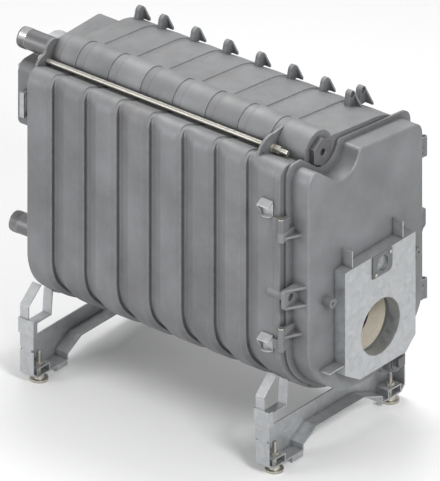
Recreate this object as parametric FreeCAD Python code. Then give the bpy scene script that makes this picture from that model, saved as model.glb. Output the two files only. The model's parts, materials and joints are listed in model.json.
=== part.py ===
import FreeCAD, Part
import math
import os

# Cast-iron sectional boiler body on two folded steel rails. Millimetres, +Z up.
# The origin is on the floor, midway between the four feet. The door faces -Y.

# Block of cast sections: a rear one, equal middle ones and a front one
MIDDLE_COUNT = 6
PITCH = 91.2
REAR_DEPTH = 65.6
FRONT_DEPTH = 100.5
BLOCK_WIDTH = 470.0
BLOCK_LIFT = 139.5
BLOCK_HEIGHT = 631.0
BELLY_RISE = 176.0
BELLY_CORNER = 132.0
SHOULDER_INSET = 28.0
SHOULDER_DROP = 3.5
SHOULDER_FALL = 20.7
SHOULDER_RADIUS = 31.0
ROOF_DROP = 1.5
ROOF_FALL = 7.2
ROOF_RADIUS = 155.0
GROOVE_DEPTH = 13.2
GROOVE_FLAT = 8.4
REAR_BEVEL = 30.8
REAR_CHAMFER = 3.0
FRONT_BEVEL = 9.7
FRONT_LAND = 3.4
ROOF_GROOVE_DEPTH = 2.9
ROOF_GROOVE_HALF = 8.4
ROOF_STEP = 1.6
FRONT_RIM_STEP = 1.8
FRONT_RIM = 15.0
FRONT_CHAMFER = 2.0
WALL_BACK = 25.0

# Fire chamber and flue passages
BURNER_X = 12.0
BURNER_LIFT = 156.0
CHAMBER_RADIUS = 118.0
PASSAGE_HEIGHT = 90.0
PASSAGE_WIDTH = 120.0
PASSAGE_WEB = 26.0
LOWER_PASSAGE_LIFT = 314.0
UPPER_PASSAGE_LIFT = 454.0
FIN_COUNT = 3
FIN_THICKNESS = 8.0
FIN_LENGTH = 28.0
TURNING_DEPTH = 28.0

# Water ports that join the sections, nipples and connections
UPPER_HUB_INSET = 135.3
UPPER_HUB_DROP = 14.8
UPPER_HUB_RADIUS = 49.5
LOWER_HUB_INSET = 80.0
LOWER_HUB_DROP = 13.0
LOWER_HUB_RADIUS = 39.6
NECK_HALF = 24.0
NECK_SINK = 8.0
NECK_SETBACK = 14.0
HUB_STEP = 1.6
HUB_BAND = 24.0
HUB_TAPER = 1.4
UPPER_PORT_RADIUS = 29.0
LOWER_PORT_RADIUS = 22.0
NIPPLE_WALL = 4.5
NIPPLE_LENGTH = 40.0
PIPE_RADIUS = 24.15
PIPE_WALL = 3.6
PIPE_INSERT = 22.0
THREAD_LENGTH = 24.5
THREAD_DEPTH = 0.25
SUPPLY_REACH = 118.0
RETURN_REACH = 112.0
RETURN_INSET = 111.0
RETURN_LIFT = 164.0
RETURN_BOSS = 34.0
HEX_FLATS = 60.0
HEX_HEIGHT = 13.6
HEX_BORE_RADIUS = 8.4
NECK_RADIUS = 27.5
NECK_LENGTH = 20.0
SQUARE_FLATS = 22.0
SQUARE_LENGTH = 13.0
SQUARE_SHANK_RADIUS = 16.0

# Tie rods, ear plates and their fasteners
ROD_RADIUS = 6.0
UPPER_ROD_INSET = 74.0
UPPER_ROD_DROP = 9.0
LOWER_ROD_INSET = 137.0
LOWER_ROD_DROP = 30.0
EAR_THICKNESS = 6.0
EAR_LEFT = 38.0
EAR_RIGHT = 56.0
EAR_ROOT = 38.0
EAR_TOP = 44.0
SAIL_LEFT = 52.0
SAIL_TOP = 38.0
LOWER_EAR_HALF = 24.0
LOWER_EAR_DROP = 18.0
LOWER_EAR_LAP = 38.0
LOWER_EAR_SCREW_TOP = 12.0
LOWER_EAR_SCREW_SPREAD = 15.0
FRONT_EAR_SETBACK = 77.5
ROD_POCKET_RADIUS = 12.5
EAR_EYE_RADIUS = 3.2
WASHER_RADIUS = 11.3
WASHER_THICKNESS = 2.5
NUT_FLATS = 18.0
NUT_HEIGHT = 10.0
ROD_PROJECTION = 34.0
EAR_SCREW_RADIUS = 4.0
EAR_SCREW_HEAD = 6.5
EAR_SCREW_DEPTH = 18.0

# Lugs on the roof
LUG_INSET = 89.0
LUG_WIDTH = 37.0
LUG_HEIGHT = 26.0
LUG_THICKNESS = 10.0
LUG_GUSSET = 15.0
LUG_SETBACK = 10.0
EYE_INSET = 118.4
EYE_PITCH = 38.0
EYE_WIDTH = 30.0
EYE_HEIGHT = 35.0
EYE_THICKNESS = 14.0
EYE_SETBACK = 11.0
EYE_GUSSET = 20.0
EYE_HOLE_RADIUS = 7.0

# Door casting
DOOR_GAP = 0.6
DOOR_FLANGE = 5.8
DOOR_FLANGE_INSET = 17.2
DOOR_RIM = 16.5
DOOR_BODY_DEPTH = 49.0
DOOR_WALL = 9.0
DOOR_EDGE = 3.0
DOOR_BASE_LIFT = 13.4
DOOR_LEDGE = 14.5
DOOR_RISE = 154.0
DOOR_CORNER = 110.0
DOOR_SHOULDER_DROP = 23.0
DOOR_TOP_DROP = 26.5
DOOR_TOP_FALL = 6.9
DOOR_LEFT_RADIUS = 26.0
DOOR_CREST_RADIUS = 20.0
DOOR_PEAK_RADIUS = 10.0
DOOR_RIGHT_RADIUS = 30.0
NOTCH_SIDE_GAP = 76.7
NOTCH_FALL = 38.0
NOTCH_RADIUS = 55.0
NOTCH_SINK = 7.7
NOTCH_LEAN = 25.0
SEAL_WIDTH = 12.0
SEAL_DEPTH = 11.0
BURNER_RADIUS = 68.0
BOSS_INSET = 50.4
BOSS_LIFT = 276.6
BOSS_RADIUS = 11.4
BOSS_LENGTH = 23.0
BOSS_BORE_RADIUS = 3.0
BOSS_OFFSET = 7.0

# Hinges and clamps
HINGE_OUT = 7.0
HINGE_FORWARD = 10.1
SPARE_HINGE_OUT = 24.6
KNUCKLE_RADIUS = 7.8
PIN_RADIUS = 4.0
PIN_CLEARANCE = 0.08
PIN_HEAD_RADIUS = 7.0
PIN_HEAD_HEIGHT = 3.0
UPPER_HINGE_LIFT = 450.1
LOWER_HINGE_LIFT = 176.2
SPARE_UPPER_LIFT = 453.4
SPARE_LOWER_LIFT = 97.0
FIXED_KNUCKLE = 31.0
DOOR_KNUCKLE = 23.5
LOWER_FIXED_KNUCKLE = 24.0
LOWER_DOOR_KNUCKLE = 30.5
KNUCKLE_GAP = 0.5
FIN_PLATE = 6.0
CLAMP_LIFT = 308.2
CLAMP_INSET = 10.2
CLAMP_PLATE = 50.0
CLAMP_THICKNESS = 7.7
CLAMP_STANDOFF = 16.5
CLAMP_HOLE_RADIUS = 9.5
CLAMP_BOSS_RADIUS = 13.3
CLAMP_BOLT_RADIUS = 6.0

# Burner box on the door
BOX_OFFSET = 0.4
BOX_WIDTH = 247.0
BOX_DEPTH = 31.6
BOX_UNDER_BURNER = 102.5
BOX_HEIGHT = 287.7
BOX_SHEET = 2.0
BOX_CHAMFER_LEFT = 50.6
BOX_CHAMFER_RIGHT = 34.3
BOX_CHAMFER_HEIGHT = 31.0
TAB_WIDTH = 28.5
TAB_LENGTH = 42.0
SIDE_TAB_LENGTH = 52.0
TAB_SHEET = 3.0
TAB_X_LEFT = 27.5
TAB_X_RIGHT = 41.6
SIDE_TAB_LIFT = 23.0
SLEEVE_WALL = 2.0
PORT_WIDTH = 67.0
PORT_HEIGHT = 55.0
PORT_X = 4.8
PORT_SHEET = 3.0
PORT_HOLE_RADIUS = 19.0
PORT_CORNER = 14.0
GLASS_THICKNESS = 4.0
GLASS_RIM = 5.0
PORT_SCREW_RADIUS = 2.5
PORT_SCREW_HEAD = 4.2
PORT_SCREW_INSET = 8.0

# Brackets on the left side of the front section
BRACKET_WIDTH = 33.0
BRACKET_HEIGHT = 40.0
BRACKET_SHEET = 2.5
BRACKET_REACH = 17.0
BRACKET_SETBACK = 17.6
UPPER_BRACKET_LIFT = 500.0
LOWER_BRACKET_LIFT = 163.0
BRACKET_HOLE_RADIUS = 3.6

# Flue collector behind the rear section
COLLECTOR_X = 6.0
COLLECTOR_MARGIN = 18.0
COLLECTOR_BELOW = 37.0
COLLECTOR_ABOVE = 35.0
COLLECTOR_DEPTH = 96.0
COLLECTOR_WALL = 4.0
COLLECTOR_CORNER = 24.0
STUD_INSET = 18.0
COLLECTOR_STUD_RADIUS = 4.0
DOME_NUT_FLATS = 13.0
DOME_NUT_HEIGHT = 8.0
GASKET_THICKNESS = 2.5
FLUE_X = 30.0
FLUE_RADIUS = 65.0
FLUE_LENGTH = 46.0
FLUE_COLLAR = 8.0
FLUE_SHEET = 3.0
FLUE_WALL = 3.0
HANDLE_HEIGHT = 62.0
HANDLE_REACH = 17.0
HANDLE_WIDTH = 12.0
HANDLE_SHEET = 3.0
HANDLE_DROP = 12.0

# Folded rails, cradles, clips and levelling feet
FOOT_POST_INSET = 36.5
REAR_FOOT_INSET = 9.7
FRONT_FOOT_INSET = 39.6
RAIL_OVERHANG = 4.8
RAIL_DEPTH = 37.4
RAIL_SHEET = 3.0
RAIL_BASE = 16.5
RAIL_WEB_HEIGHT = 81.4
POST_HEIGHT = 125.5
FOOT_TO_WEB = 24.0
ARCH_HEIGHT = 40.5
ARCH_STEP = 14.5
LEFT_LEG_LENGTH = 122.8
LEFT_ARCH_RUN = 47.0
RIGHT_LEG_LENGTH = 81.8
RIGHT_ARCH_RUN = 63.0
RAIL_END_RISE = 13.0
NOTCH_HEIGHT = 7.0
NOTCH_DEPTH = 6.0
NOTCH_LIFT = 68.0
TONGUE_DEPTH = 11.0
TONGUE_WIDTH = 38.0
CRADLE_WIDTH = 23.7
CRADLE_SHEET = 3.0
CRADLE_BEND_RISE = 39.0
CRADLE_TIP_REACH = 45.8
CRADLE_INNER_REACH = 78.8
CRADLE_PAD_REACH = 113.8
RIGHT_INNER_REACH = 36.8
CRADLE_FOLD = 5.0
CLIP_HEIGHT = 37.0
CLIP_SHEET = 3.0
CLIP_RETURN = 11.0
FOOT_BLOCK_LENGTH = 46.0
FOOT_BLOCK_HEIGHT = 19.0
STUD_RADIUS = 5.0
STUD_TOP = 72.6
FOOT_RADIUS = 21.0
FOOT_DISC = 6.5
FOOT_HUB_RADIUS = 10.0
FOOT_NUT_FLATS = 17.0
FOOT_NUT_HEIGHT = 8.0

# General clearances
SEAT = 0.3
FIT = 0.15

# Places worked out from the sizes above
BLOCK_LENGTH = REAR_DEPTH + MIDDLE_COUNT * PITCH + FRONT_DEPTH
FOOT_SPACING_Y = BLOCK_LENGTH - REAR_FOOT_INSET - FRONT_FOOT_INSET
REAR_Y = FOOT_SPACING_Y / 2 + REAR_FOOT_INSET
FRONT_Y = REAR_Y - BLOCK_LENGTH
BASE_Z = RAIL_BASE + BLOCK_LIFT
SHOULDER_Z = BASE_Z + BLOCK_HEIGHT - SHOULDER_DROP
HALF_WIDTH = BLOCK_WIDTH / 2
UPPER_HUB_X = UPPER_HUB_INSET - HALF_WIDTH
LOWER_HUB_X = HALF_WIDTH - LOWER_HUB_INSET
RETURN_X = RETURN_INSET - HALF_WIDTH
UPPER_ROD_X = UPPER_ROD_INSET - HALF_WIDTH
LOWER_ROD_X = HALF_WIDTH - LOWER_ROD_INSET
LUG_X = HALF_WIDTH - LUG_INSET
EYE_X = HALF_WIDTH - EYE_INSET
UPPER_HUB_Z = BASE_Z + BLOCK_HEIGHT - UPPER_HUB_DROP
LOWER_HUB_Z = BASE_Z - LOWER_HUB_DROP
UPPER_ROD_Z = BASE_Z + BLOCK_HEIGHT - UPPER_ROD_DROP
LOWER_ROD_Z = BASE_Z - LOWER_ROD_DROP
BURNER_Z = BASE_Z + BURNER_LIFT
BOX_X = BURNER_X - BOX_OFFSET
BOX_LIFT = BURNER_LIFT - BOX_UNDER_BURNER
JOINTS = [REAR_Y - REAR_DEPTH - PITCH * index for index in range(MIDDLE_COUNT + 1)]
DOOR_FLANGE_WIDTH = BLOCK_WIDTH - 2 * DOOR_FLANGE_INSET
DOOR_BODY_WIDTH = DOOR_FLANGE_WIDTH - 2 * DOOR_RIM
BOSS_X = DOOR_BODY_WIDTH / 2 - BOSS_INSET
DOOR_BACK = FRONT_Y - DOOR_GAP
FLANGE_FRONT = DOOR_BACK - DOOR_FLANGE
DOOR_FRONT = FLANGE_FRONT - DOOR_BODY_DEPTH
BOX_FRONT = DOOR_FRONT - BOX_DEPTH
HINGE_X = -HALF_WIDTH - HINGE_OUT
HINGE_Y = FRONT_Y - HINGE_FORWARD
SPARE_HINGE_X = HALF_WIDTH + SPARE_HINGE_OUT
FRONT_EAR_Y = FRONT_Y + FRONT_EAR_SETBACK
ROD_PLACES = [(UPPER_ROD_X, UPPER_ROD_Z), (LOWER_ROD_X, LOWER_ROD_Z)]
UPPER_EAR_SCREWS = [
    (UPPER_HUB_X - UPPER_HUB_RADIUS * 0.63, UPPER_HUB_Z + UPPER_HUB_RADIUS * 0.55),
    (UPPER_ROD_X - EAR_ROOT * 0.26, UPPER_ROD_Z - EAR_ROOT * 0.6),
]
COLLECTOR_WIDTH = PASSAGE_WEB + 2 * (PASSAGE_WIDTH + COLLECTOR_MARGIN)
COLLECTOR_HEIGHT = PASSAGE_HEIGHT + COLLECTOR_BELOW + COLLECTOR_ABOVE
COLLECTOR_Z = BASE_Z + UPPER_PASSAGE_LIFT - COLLECTOR_BELOW
COLLECTOR_BASE_Y = REAR_Y + GASKET_THICKNESS
COLLECTOR_BACK_Y = COLLECTOR_BASE_Y + COLLECTOR_DEPTH - GASKET_THICKNESS
POST_X = HALF_WIDTH + RAIL_OVERHANG
FOOT_SPACING_X = 2 * (POST_X - FOOT_POST_INSET)
ARCH_LEFT_FOOT = POST_X - LEFT_LEG_LENGTH
ARCH_LEFT_TOP = ARCH_LEFT_FOOT - LEFT_ARCH_RUN
ARCH_RIGHT_FOOT = POST_X - RIGHT_LEG_LENGTH
ARCH_RIGHT_TOP = ARCH_RIGHT_FOOT - RIGHT_ARCH_RUN
CRADLE_TIP_X = POST_X - CRADLE_TIP_REACH
CRADLE_INNER_X = POST_X - CRADLE_INNER_REACH
CRADLE_PAD_X = POST_X - CRADLE_PAD_REACH
RIGHT_INNER_X = POST_X - RIGHT_INNER_REACH
FRONT_RAIL_Y = -FOOT_SPACING_Y / 2 + FOOT_TO_WEB
REAR_RAIL_Y = FRONT_RAIL_Y + FOOT_SPACING_Y


def vec(x, y, z):
    return FreeCAD.Vector(x, y, z)


def polygon_face(points):
    """Flat face through a list of vectors."""
    return Part.Face(Part.makePolygon(points + [points[0]]))


def prism_y(outline, y, depth):
    """Solid with its outline in the XZ plane at y, running back by depth."""
    points = [vec(x, y, z) for x, z in outline]
    return polygon_face(points).extrude(vec(0, depth, 0))


def rod_y(x, z, radius, y, length):
    """Round bar along Y."""
    return Part.makeCylinder(radius, length, vec(x, y, z), vec(0, 1, 0))


def rod_z(x, y, radius, z, length):
    """Round bar along Z."""
    return Part.makeCylinder(radius, length, vec(x, y, z), vec(0, 0, 1))


def block(low, high):
    """Box between two opposite corners."""
    size = [b - a for a, b in zip(low, high)]
    return Part.makeBox(size[0], size[1], size[2], vec(*low))


def hex_y(x, z, flats, y, length):
    """Hexagonal bar along Y with one corner pointing up."""
    reach = flats / math.sqrt(3)
    turns = [math.radians(90 + 60 * index) for index in range(6)]
    outline = [(x + reach * math.cos(turn), z + reach * math.sin(turn)) for turn in turns]
    return prism_y(outline, y, length)


def turned_y(x, z, profile):
    """Solid turned about a Y axis from (y, radius) pairs."""
    points = [vec(x + radius, y, z) for y, radius in profile]
    return polygon_face(points).revolve(vec(x, 0, z), vec(0, 1, 0), 360)


def fuse_all(shapes):
    return shapes[0].multiFuse(shapes[1:]).removeSplitter()


def crossing(first, second):
    """Meeting point of two lines, each given as (x, z, direction in degrees)."""
    ax, az, a_turn = first
    bx, bz, b_turn = second
    ux, uz = math.cos(math.radians(a_turn)), math.sin(math.radians(a_turn))
    vx, vz = math.cos(math.radians(b_turn)), math.sin(math.radians(b_turn))
    across = ux * vz - uz * vx
    step = ((bx - ax) * vz - (bz - az) * vx) / across
    return ax + step * ux, az + step * uz


def moved_in(line, inset):
    """Line moved to the inner side of the outline, which lies on its right."""
    x, z, turn = line
    return (x + inset * math.sin(math.radians(turn)), z - inset * math.cos(math.radians(turn)), turn)


def corner_edges(before, here, after, radius):
    """Points where a rounded corner starts, bulges and ends."""
    first = (vec(before[0], 0, before[1]) - vec(here[0], 0, here[1])).normalize()
    second = (vec(after[0], 0, after[1]) - vec(here[0], 0, here[1])).normalize()
    half = first.getAngle(second) / 2
    reach = radius / math.tan(half)
    corner = vec(here[0], 0, here[1])
    middle = (first + second).normalize()
    bulge = radius / math.sin(half) - radius
    return corner + first * reach, corner + middle * bulge, corner + second * reach


def cast_outline(shape, inset, y, top_inset=None):
    """Closed outline: straight sides, a rounded top path and a three-centred belly.

    shape holds half_width, base, rise, corner, lines and radii. The lines run from the left
    side over the top to the right side, and radii has one value for each corner between them.
    """
    if top_inset is None:
        top_inset = inset
    half = shape["half_width"] - inset
    base = shape["base"] + inset
    rise = shape["rise"] - inset
    corner = shape["corner"] - inset
    lines = [(-half, base + rise, 90)]
    lines += [moved_in(line, top_inset) for line in shape["lines"]]
    lines += [(half, base + rise, -90)]
    corners = [crossing(lines[index], lines[index + 1]) for index in range(len(lines) - 1)]
    start = vec(-half, 0, base + rise)
    finish = vec(half, 0, base + rise)
    path = [(start.x, start.z)] + corners + [(finish.x, finish.z)]
    edges = []
    here = start
    for index, radius in enumerate(shape["radii"]):
        point = path[index + 1]
        turn = lines[index + 1][2] - lines[index][2]
        side = -1 if turn < 0 else 1
        radius = radius + side * inset if radius else 0
        if radius > 0:
            first, middle, last = corner_edges(path[index], point, path[index + 2], radius)
            edges.append(Part.makeLine(here, first))
            edges.append(Part.Arc(first, middle, last).toShape())
            here = last
        else:
            edges.append(Part.makeLine(here, vec(point[0], 0, point[1])))
            here = vec(point[0], 0, point[1])
    edges.append(Part.makeLine(here, finish))
    edges += belly_edges(half, base, rise, corner)
    wire = Part.Wire(edges)
    wire.translate(vec(0, y, 0))
    return wire


def belly_edges(half, base, rise, corner):
    """Two corner arcs and the wide crown arc under the casting, right to left."""
    reach = half - corner
    crown = (reach ** 2 + rise ** 2 - corner ** 2) / (2 * (rise - corner))
    tilt = math.atan2(crown - rise, reach)
    edges = []
    for side in (1, -1):
        centre = vec(side * reach, 0, base + rise)
        outer = centre + vec(side * corner, 0, 0)
        middle = centre + vec(side * corner * math.cos(tilt / 2), 0, -corner * math.sin(tilt / 2))
        inner = centre + vec(side * corner * math.cos(tilt), 0, -corner * math.sin(tilt))
        edges.append((outer, middle, inner))
    right, left = edges
    return [
        Part.Arc(*right).toShape(),
        Part.Arc(right[2], vec(0, 0, base), left[2]).toShape(),
        Part.Arc(left[2], left[1], left[0]).toShape(),
    ]


def belly_height(x, inset):
    """Height above the floor of the casting's underside at a given x."""
    reach = HALF_WIDTH - BELLY_CORNER
    rise = BELLY_RISE - inset
    corner = BELLY_CORNER - inset
    crown = (reach ** 2 + rise ** 2 - corner ** 2) / (2 * (rise - corner))
    edge = reach * crown / (crown - corner)
    if abs(x) < edge:
        return BASE_Z + inset + crown - math.sqrt(crown ** 2 - x ** 2)
    return BASE_Z + BELLY_RISE - math.sqrt(corner ** 2 - (abs(x) - reach) ** 2)


def section_shape():
    shoulder = (SHOULDER_INSET - HALF_WIDTH, SHOULDER_Z, -SHOULDER_FALL)
    roof = (0, SHOULDER_Z - ROOF_DROP, -ROOF_FALL)
    fall = math.tan(math.radians(SHOULDER_FALL))
    left_x = UPPER_HUB_X - 0.88 * UPPER_HUB_RADIUS
    right_x = UPPER_HUB_X + 0.84 * UPPER_HUB_RADIUS
    left_z = SHOULDER_Z - fall * (left_x - shoulder[0])
    right_z = roof[1] - math.tan(math.radians(ROOF_FALL)) * right_x
    bridge = math.degrees(math.atan2(right_z - left_z, right_x - left_x))
    return {
        "half_width": HALF_WIDTH,
        "base": BASE_Z,
        "rise": BELLY_RISE,
        "corner": BELLY_CORNER,
        "lines": [shoulder, (left_x, left_z, bridge), roof],
        "radii": [SHOULDER_RADIUS, 0, 0, ROOF_RADIUS],
    }


SECTION = section_shape()


def roof_height(x):
    return SECTION["lines"][2][1] - math.tan(math.radians(ROOF_FALL)) * x


def profile_at(stations, forward):
    """Value of a piecewise straight profile at a distance forward."""
    for (near, near_value), (far, far_value) in zip(stations, stations[1:]):
        if near <= forward <= far:
            share = (forward - near) / (far - near)
            return near_value + (far_value - near_value) * share
    return stations[-1][1]


def section_body(rear_y, sides, roof):
    """Casting lofted forward of rear_y through two profiles of (distance, inset).

    The first profile is for the sides and the belly, the second for the flatter roof.
    """
    places = sorted({forward for forward, inset in sides + roof})
    bands = []
    for near, far in zip(places, places[1:]):
        near_insets = profile_at(sides, near), profile_at(roof, near)
        far_insets = profile_at(sides, far), profile_at(roof, far)
        first = cast_outline(SECTION, near_insets[0], rear_y - near, near_insets[1])
        if near_insets == far_insets:
            bands.append(Part.Face(first).extrude(vec(0, near - far, 0)))
        else:
            last = cast_outline(SECTION, far_insets[0], rear_y - far, far_insets[1])
            bands.append(Part.makeLoft([first, last], True, True))
    return fuse_all(bands)


def roof_grooves(depth, at_rear, at_front):
    """Roof profile with half a joint groove at either end of a section."""
    deep, half, step = ROOF_GROOVE_DEPTH, ROOF_GROOVE_HALF, ROOF_STEP
    rear = [(0, deep), (half - step, deep), (half, 0)] if at_rear else [(0, 0)]
    front = [(depth - half, 0), (depth - half + step, deep), (depth, deep)] if at_front else [(depth, 0)]
    return rear + front


def lower_neck(rear_y, depth):
    """Web between the rounded belly and the lower water port of one section."""
    x, z = LOWER_HUB_X, LOWER_HUB_Z
    top = belly_height(x, GROOVE_DEPTH) + NECK_SINK
    outline = [(x - LOWER_HUB_RADIUS * 0.8, z), (x + LOWER_HUB_RADIUS * 0.8, z),
               (x + NECK_HALF, top + 14), (x - NECK_HALF, top - 6)]
    start = rear_y - depth + NECK_SETBACK
    return prism_y(outline, start, depth - 2 * NECK_SETBACK)


def hub_ring(x, z, radius, rear_y, depth):
    """Outside of a water port on one section: a narrow band, a step and a broad band."""
    band = min(HUB_BAND, depth / 2)
    front = rear_y - depth
    profile = [
        (rear_y, 0),
        (rear_y, radius - HUB_STEP - HUB_TAPER),
        (rear_y - band, radius - HUB_STEP),
        (rear_y - band, radius),
        (front, radius - HUB_TAPER),
        (front, 0),
    ]
    return turned_y(x, z, profile)


def passage_outline(left, right, low, high):
    """Flue passage with cooling fins standing from its floor and roof."""
    pitch = (right - left) / (FIN_COUNT + 1)
    floor = [(left, low)]
    roof = [(right, high)]
    for index in range(FIN_COUNT):
        centre = left + pitch * (index + 1)
        near = centre - FIN_THICKNESS / 2
        far = centre + FIN_THICKNESS / 2
        floor += [(near, low), (near, low + FIN_LENGTH), (far, low + FIN_LENGTH), (far, low)]
        far_side = left + right - near
        near_side = left + right - far
        roof += [(far_side, high), (far_side, high - FIN_LENGTH)]
        roof += [(near_side, high - FIN_LENGTH), (near_side, high)]
    return floor + [(right, low)] + roof + [(left, high)]


def passage_row(lift, y, depth):
    """Pair of flue passages either side of the middle web."""
    low = BASE_Z + lift
    high = low + PASSAGE_HEIGHT
    near = PASSAGE_WEB / 2
    far = near + PASSAGE_WIDTH
    return [
        prism_y(passage_outline(-far, -near, low, high), y, depth),
        prism_y(passage_outline(near, far, low, high), y, depth),
    ]


def turning_space(low, high, front_y, rear_y):
    """Pocket that joins two levels of gas ways across the whole width of the passages."""
    half = PASSAGE_WEB / 2 + PASSAGE_WIDTH
    return block((-half, front_y, low), (half, rear_y, high))


def gas_ways(front_y, rear_y, upper_rear_y):
    """Fire chamber and passages to cut out of one section."""
    depth = rear_y - front_y
    chamber = rod_y(BURNER_X, BURNER_Z, CHAMBER_RADIUS, front_y, depth)
    lower = passage_row(LOWER_PASSAGE_LIFT, front_y, depth)
    upper = passage_row(UPPER_PASSAGE_LIFT, front_y, upper_rear_y - front_y)
    return [chamber] + lower + upper


def ports(front_y, rear_y):
    """Water ports to bore through one section."""
    length = rear_y - front_y
    return [
        rod_y(UPPER_HUB_X, UPPER_HUB_Z, UPPER_PORT_RADIUS, front_y, length),
        rod_y(LOWER_HUB_X, LOWER_HUB_Z, LOWER_PORT_RADIUS, front_y, length),
    ]


def arch_plate(x, base_z, width, height, front_y, thickness, sink):
    """Upright lug with a half-round head, across the roof."""
    radius = width * 0.3
    half = width / 2
    top = base_z + height
    head = rod_y(x, top - radius, radius, front_y, thickness)
    side = [(x - half, base_z - sink), (x - radius, top - radius), (x + radius, top - radius)]
    side += [(x + half, base_z - sink)]
    return head.fuse(prism_y(side, front_y, thickness))


def roof_lug(x, width, height, rear_y, thickness, gusset):
    """Lug plate with a triangular rib in front of it at its right edge."""
    base = roof_height(x)
    sink = width * 0.2 + 2
    front_y = rear_y - thickness
    plate = arch_plate(x, base, width, height, front_y, thickness, sink)
    rib_x = x + width * 0.24
    rib = polygon_face([
        vec(rib_x, front_y + 1, base - sink),
        vec(rib_x, front_y + 1, base + height * 0.72),
        vec(rib_x, front_y - gusset, base - sink * 0.4),
        vec(rib_x, front_y - gusset, base - sink),
    ]).extrude(vec(LUG_THICKNESS * 0.4, 0, 0))
    return plate.fuse(rib)


def middle_section(rear_y):
    front_y = rear_y - PITCH
    sides = [
        (0, GROOVE_DEPTH),
        (GROOVE_FLAT, GROOVE_DEPTH),
        (GROOVE_FLAT + REAR_BEVEL, 0),
        (PITCH - FRONT_LAND - FRONT_BEVEL, 0),
        (PITCH - FRONT_LAND, GROOVE_DEPTH / 2),
        (PITCH, GROOVE_DEPTH / 2),
    ]
    body = section_body(rear_y, sides, roof_grooves(PITCH, True, True))
    parts = [
        body,
        hub_ring(UPPER_HUB_X, UPPER_HUB_Z, UPPER_HUB_RADIUS, rear_y, PITCH),
        hub_ring(LOWER_HUB_X, LOWER_HUB_Z, LOWER_HUB_RADIUS, rear_y, PITCH),
        lower_neck(rear_y, PITCH),
        roof_lug(LUG_X, LUG_WIDTH, LUG_HEIGHT, rear_y - LUG_SETBACK, LUG_THICKNESS, LUG_GUSSET),
    ]
    cuts = gas_ways(front_y, rear_y, rear_y) + ports(front_y, rear_y)
    return fuse_all(parts).cut(Part.makeCompound(cuts))


def rear_section():
    front_y = REAR_Y - REAR_DEPTH
    sides = [
        (0, REAR_CHAMFER),
        (REAR_CHAMFER, 0),
        (REAR_DEPTH - FRONT_LAND - FRONT_BEVEL, 0),
        (REAR_DEPTH - FRONT_LAND, GROOVE_DEPTH / 2),
        (REAR_DEPTH, GROOVE_DEPTH / 2),
    ]
    parts = [
        section_body(REAR_Y, sides, roof_grooves(REAR_DEPTH, False, True)),
        hub_ring(UPPER_HUB_X, UPPER_HUB_Z, UPPER_HUB_RADIUS, REAR_Y, REAR_DEPTH),
        hub_ring(LOWER_HUB_X, LOWER_HUB_Z, LOWER_HUB_RADIUS, REAR_Y, REAR_DEPTH),
        lower_neck(REAR_Y, REAR_DEPTH),
        rod_y(RETURN_X, BASE_Z + RETURN_LIFT, RETURN_BOSS, REAR_Y - WALL_BACK, WALL_BACK + 8),
        roof_lug(LUG_X, LUG_WIDTH, LUG_HEIGHT, REAR_Y - LUG_SETBACK, LUG_THICKNESS, LUG_GUSSET),
    ]
    wall = REAR_Y - WALL_BACK
    pipe_bore = PIPE_RADIUS + FIT
    cuts = gas_ways(front_y, wall, REAR_Y)
    lower_roof = BASE_Z + LOWER_PASSAGE_LIFT + PASSAGE_HEIGHT
    cuts.append(turning_space(BURNER_Z, lower_roof, wall - TURNING_DEPTH, wall))
    cuts += [
        rod_y(UPPER_HUB_X, UPPER_HUB_Z, UPPER_PORT_RADIUS, front_y, REAR_DEPTH - PIPE_INSERT - 2),
        rod_y(UPPER_HUB_X, UPPER_HUB_Z, pipe_bore, REAR_Y - PIPE_INSERT - 2, PIPE_INSERT + 2),
        rod_y(LOWER_HUB_X, LOWER_HUB_Z, LOWER_PORT_RADIUS, front_y, REAR_DEPTH - WALL_BACK),
        rod_y(RETURN_X, BASE_Z + RETURN_LIFT, pipe_bore, REAR_Y + 8 - PIPE_INSERT, PIPE_INSERT),
    ]
    for x, z in UPPER_EAR_SCREWS + lower_ear_screws():
        cuts.append(rod_y(x, z, EAR_SCREW_RADIUS + FIT, REAR_Y - EAR_SCREW_DEPTH - 1,
                          EAR_SCREW_DEPTH + 2))
    for x, z in collector_stud_places():
        cuts.append(rod_y(x, z, COLLECTOR_STUD_RADIUS + FIT, REAR_Y - EAR_SCREW_DEPTH - 1,
                          EAR_SCREW_DEPTH + 2))
    return fuse_all(parts).cut(Part.makeCompound(cuts))


def fixed_lug(x, low, height):
    """Hinge knuckle on the front section, on an arm from the casting's edge."""
    side = -1 if x < 0 else 1
    inner = side * (HALF_WIDTH - 32)
    arm = block(
        (min(x, inner), HINGE_Y - KNUCKLE_RADIUS * 0.7, low),
        (max(x, inner), FRONT_Y - 0.01, low + height),
    )
    reach = block(
        (min(x, inner), FRONT_Y - 0.02, low),
        (max(x, inner), FRONT_Y + 14, low + height),
    )
    barrel = rod_z(x, HINGE_Y, KNUCKLE_RADIUS, low, height)
    neck = max(x, inner) if side < 0 else min(x, inner)
    door_room = block(
        (min(neck, side * DOOR_FLANGE_WIDTH / 2 + side * 2), HINGE_Y - 20, low - 1),
        (max(neck, side * DOOR_FLANGE_WIDTH / 2 + side * 2), FRONT_Y - 0.01, low + height + 1),
    )
    return fuse_all([arm.cut(door_room), reach, barrel])


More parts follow.
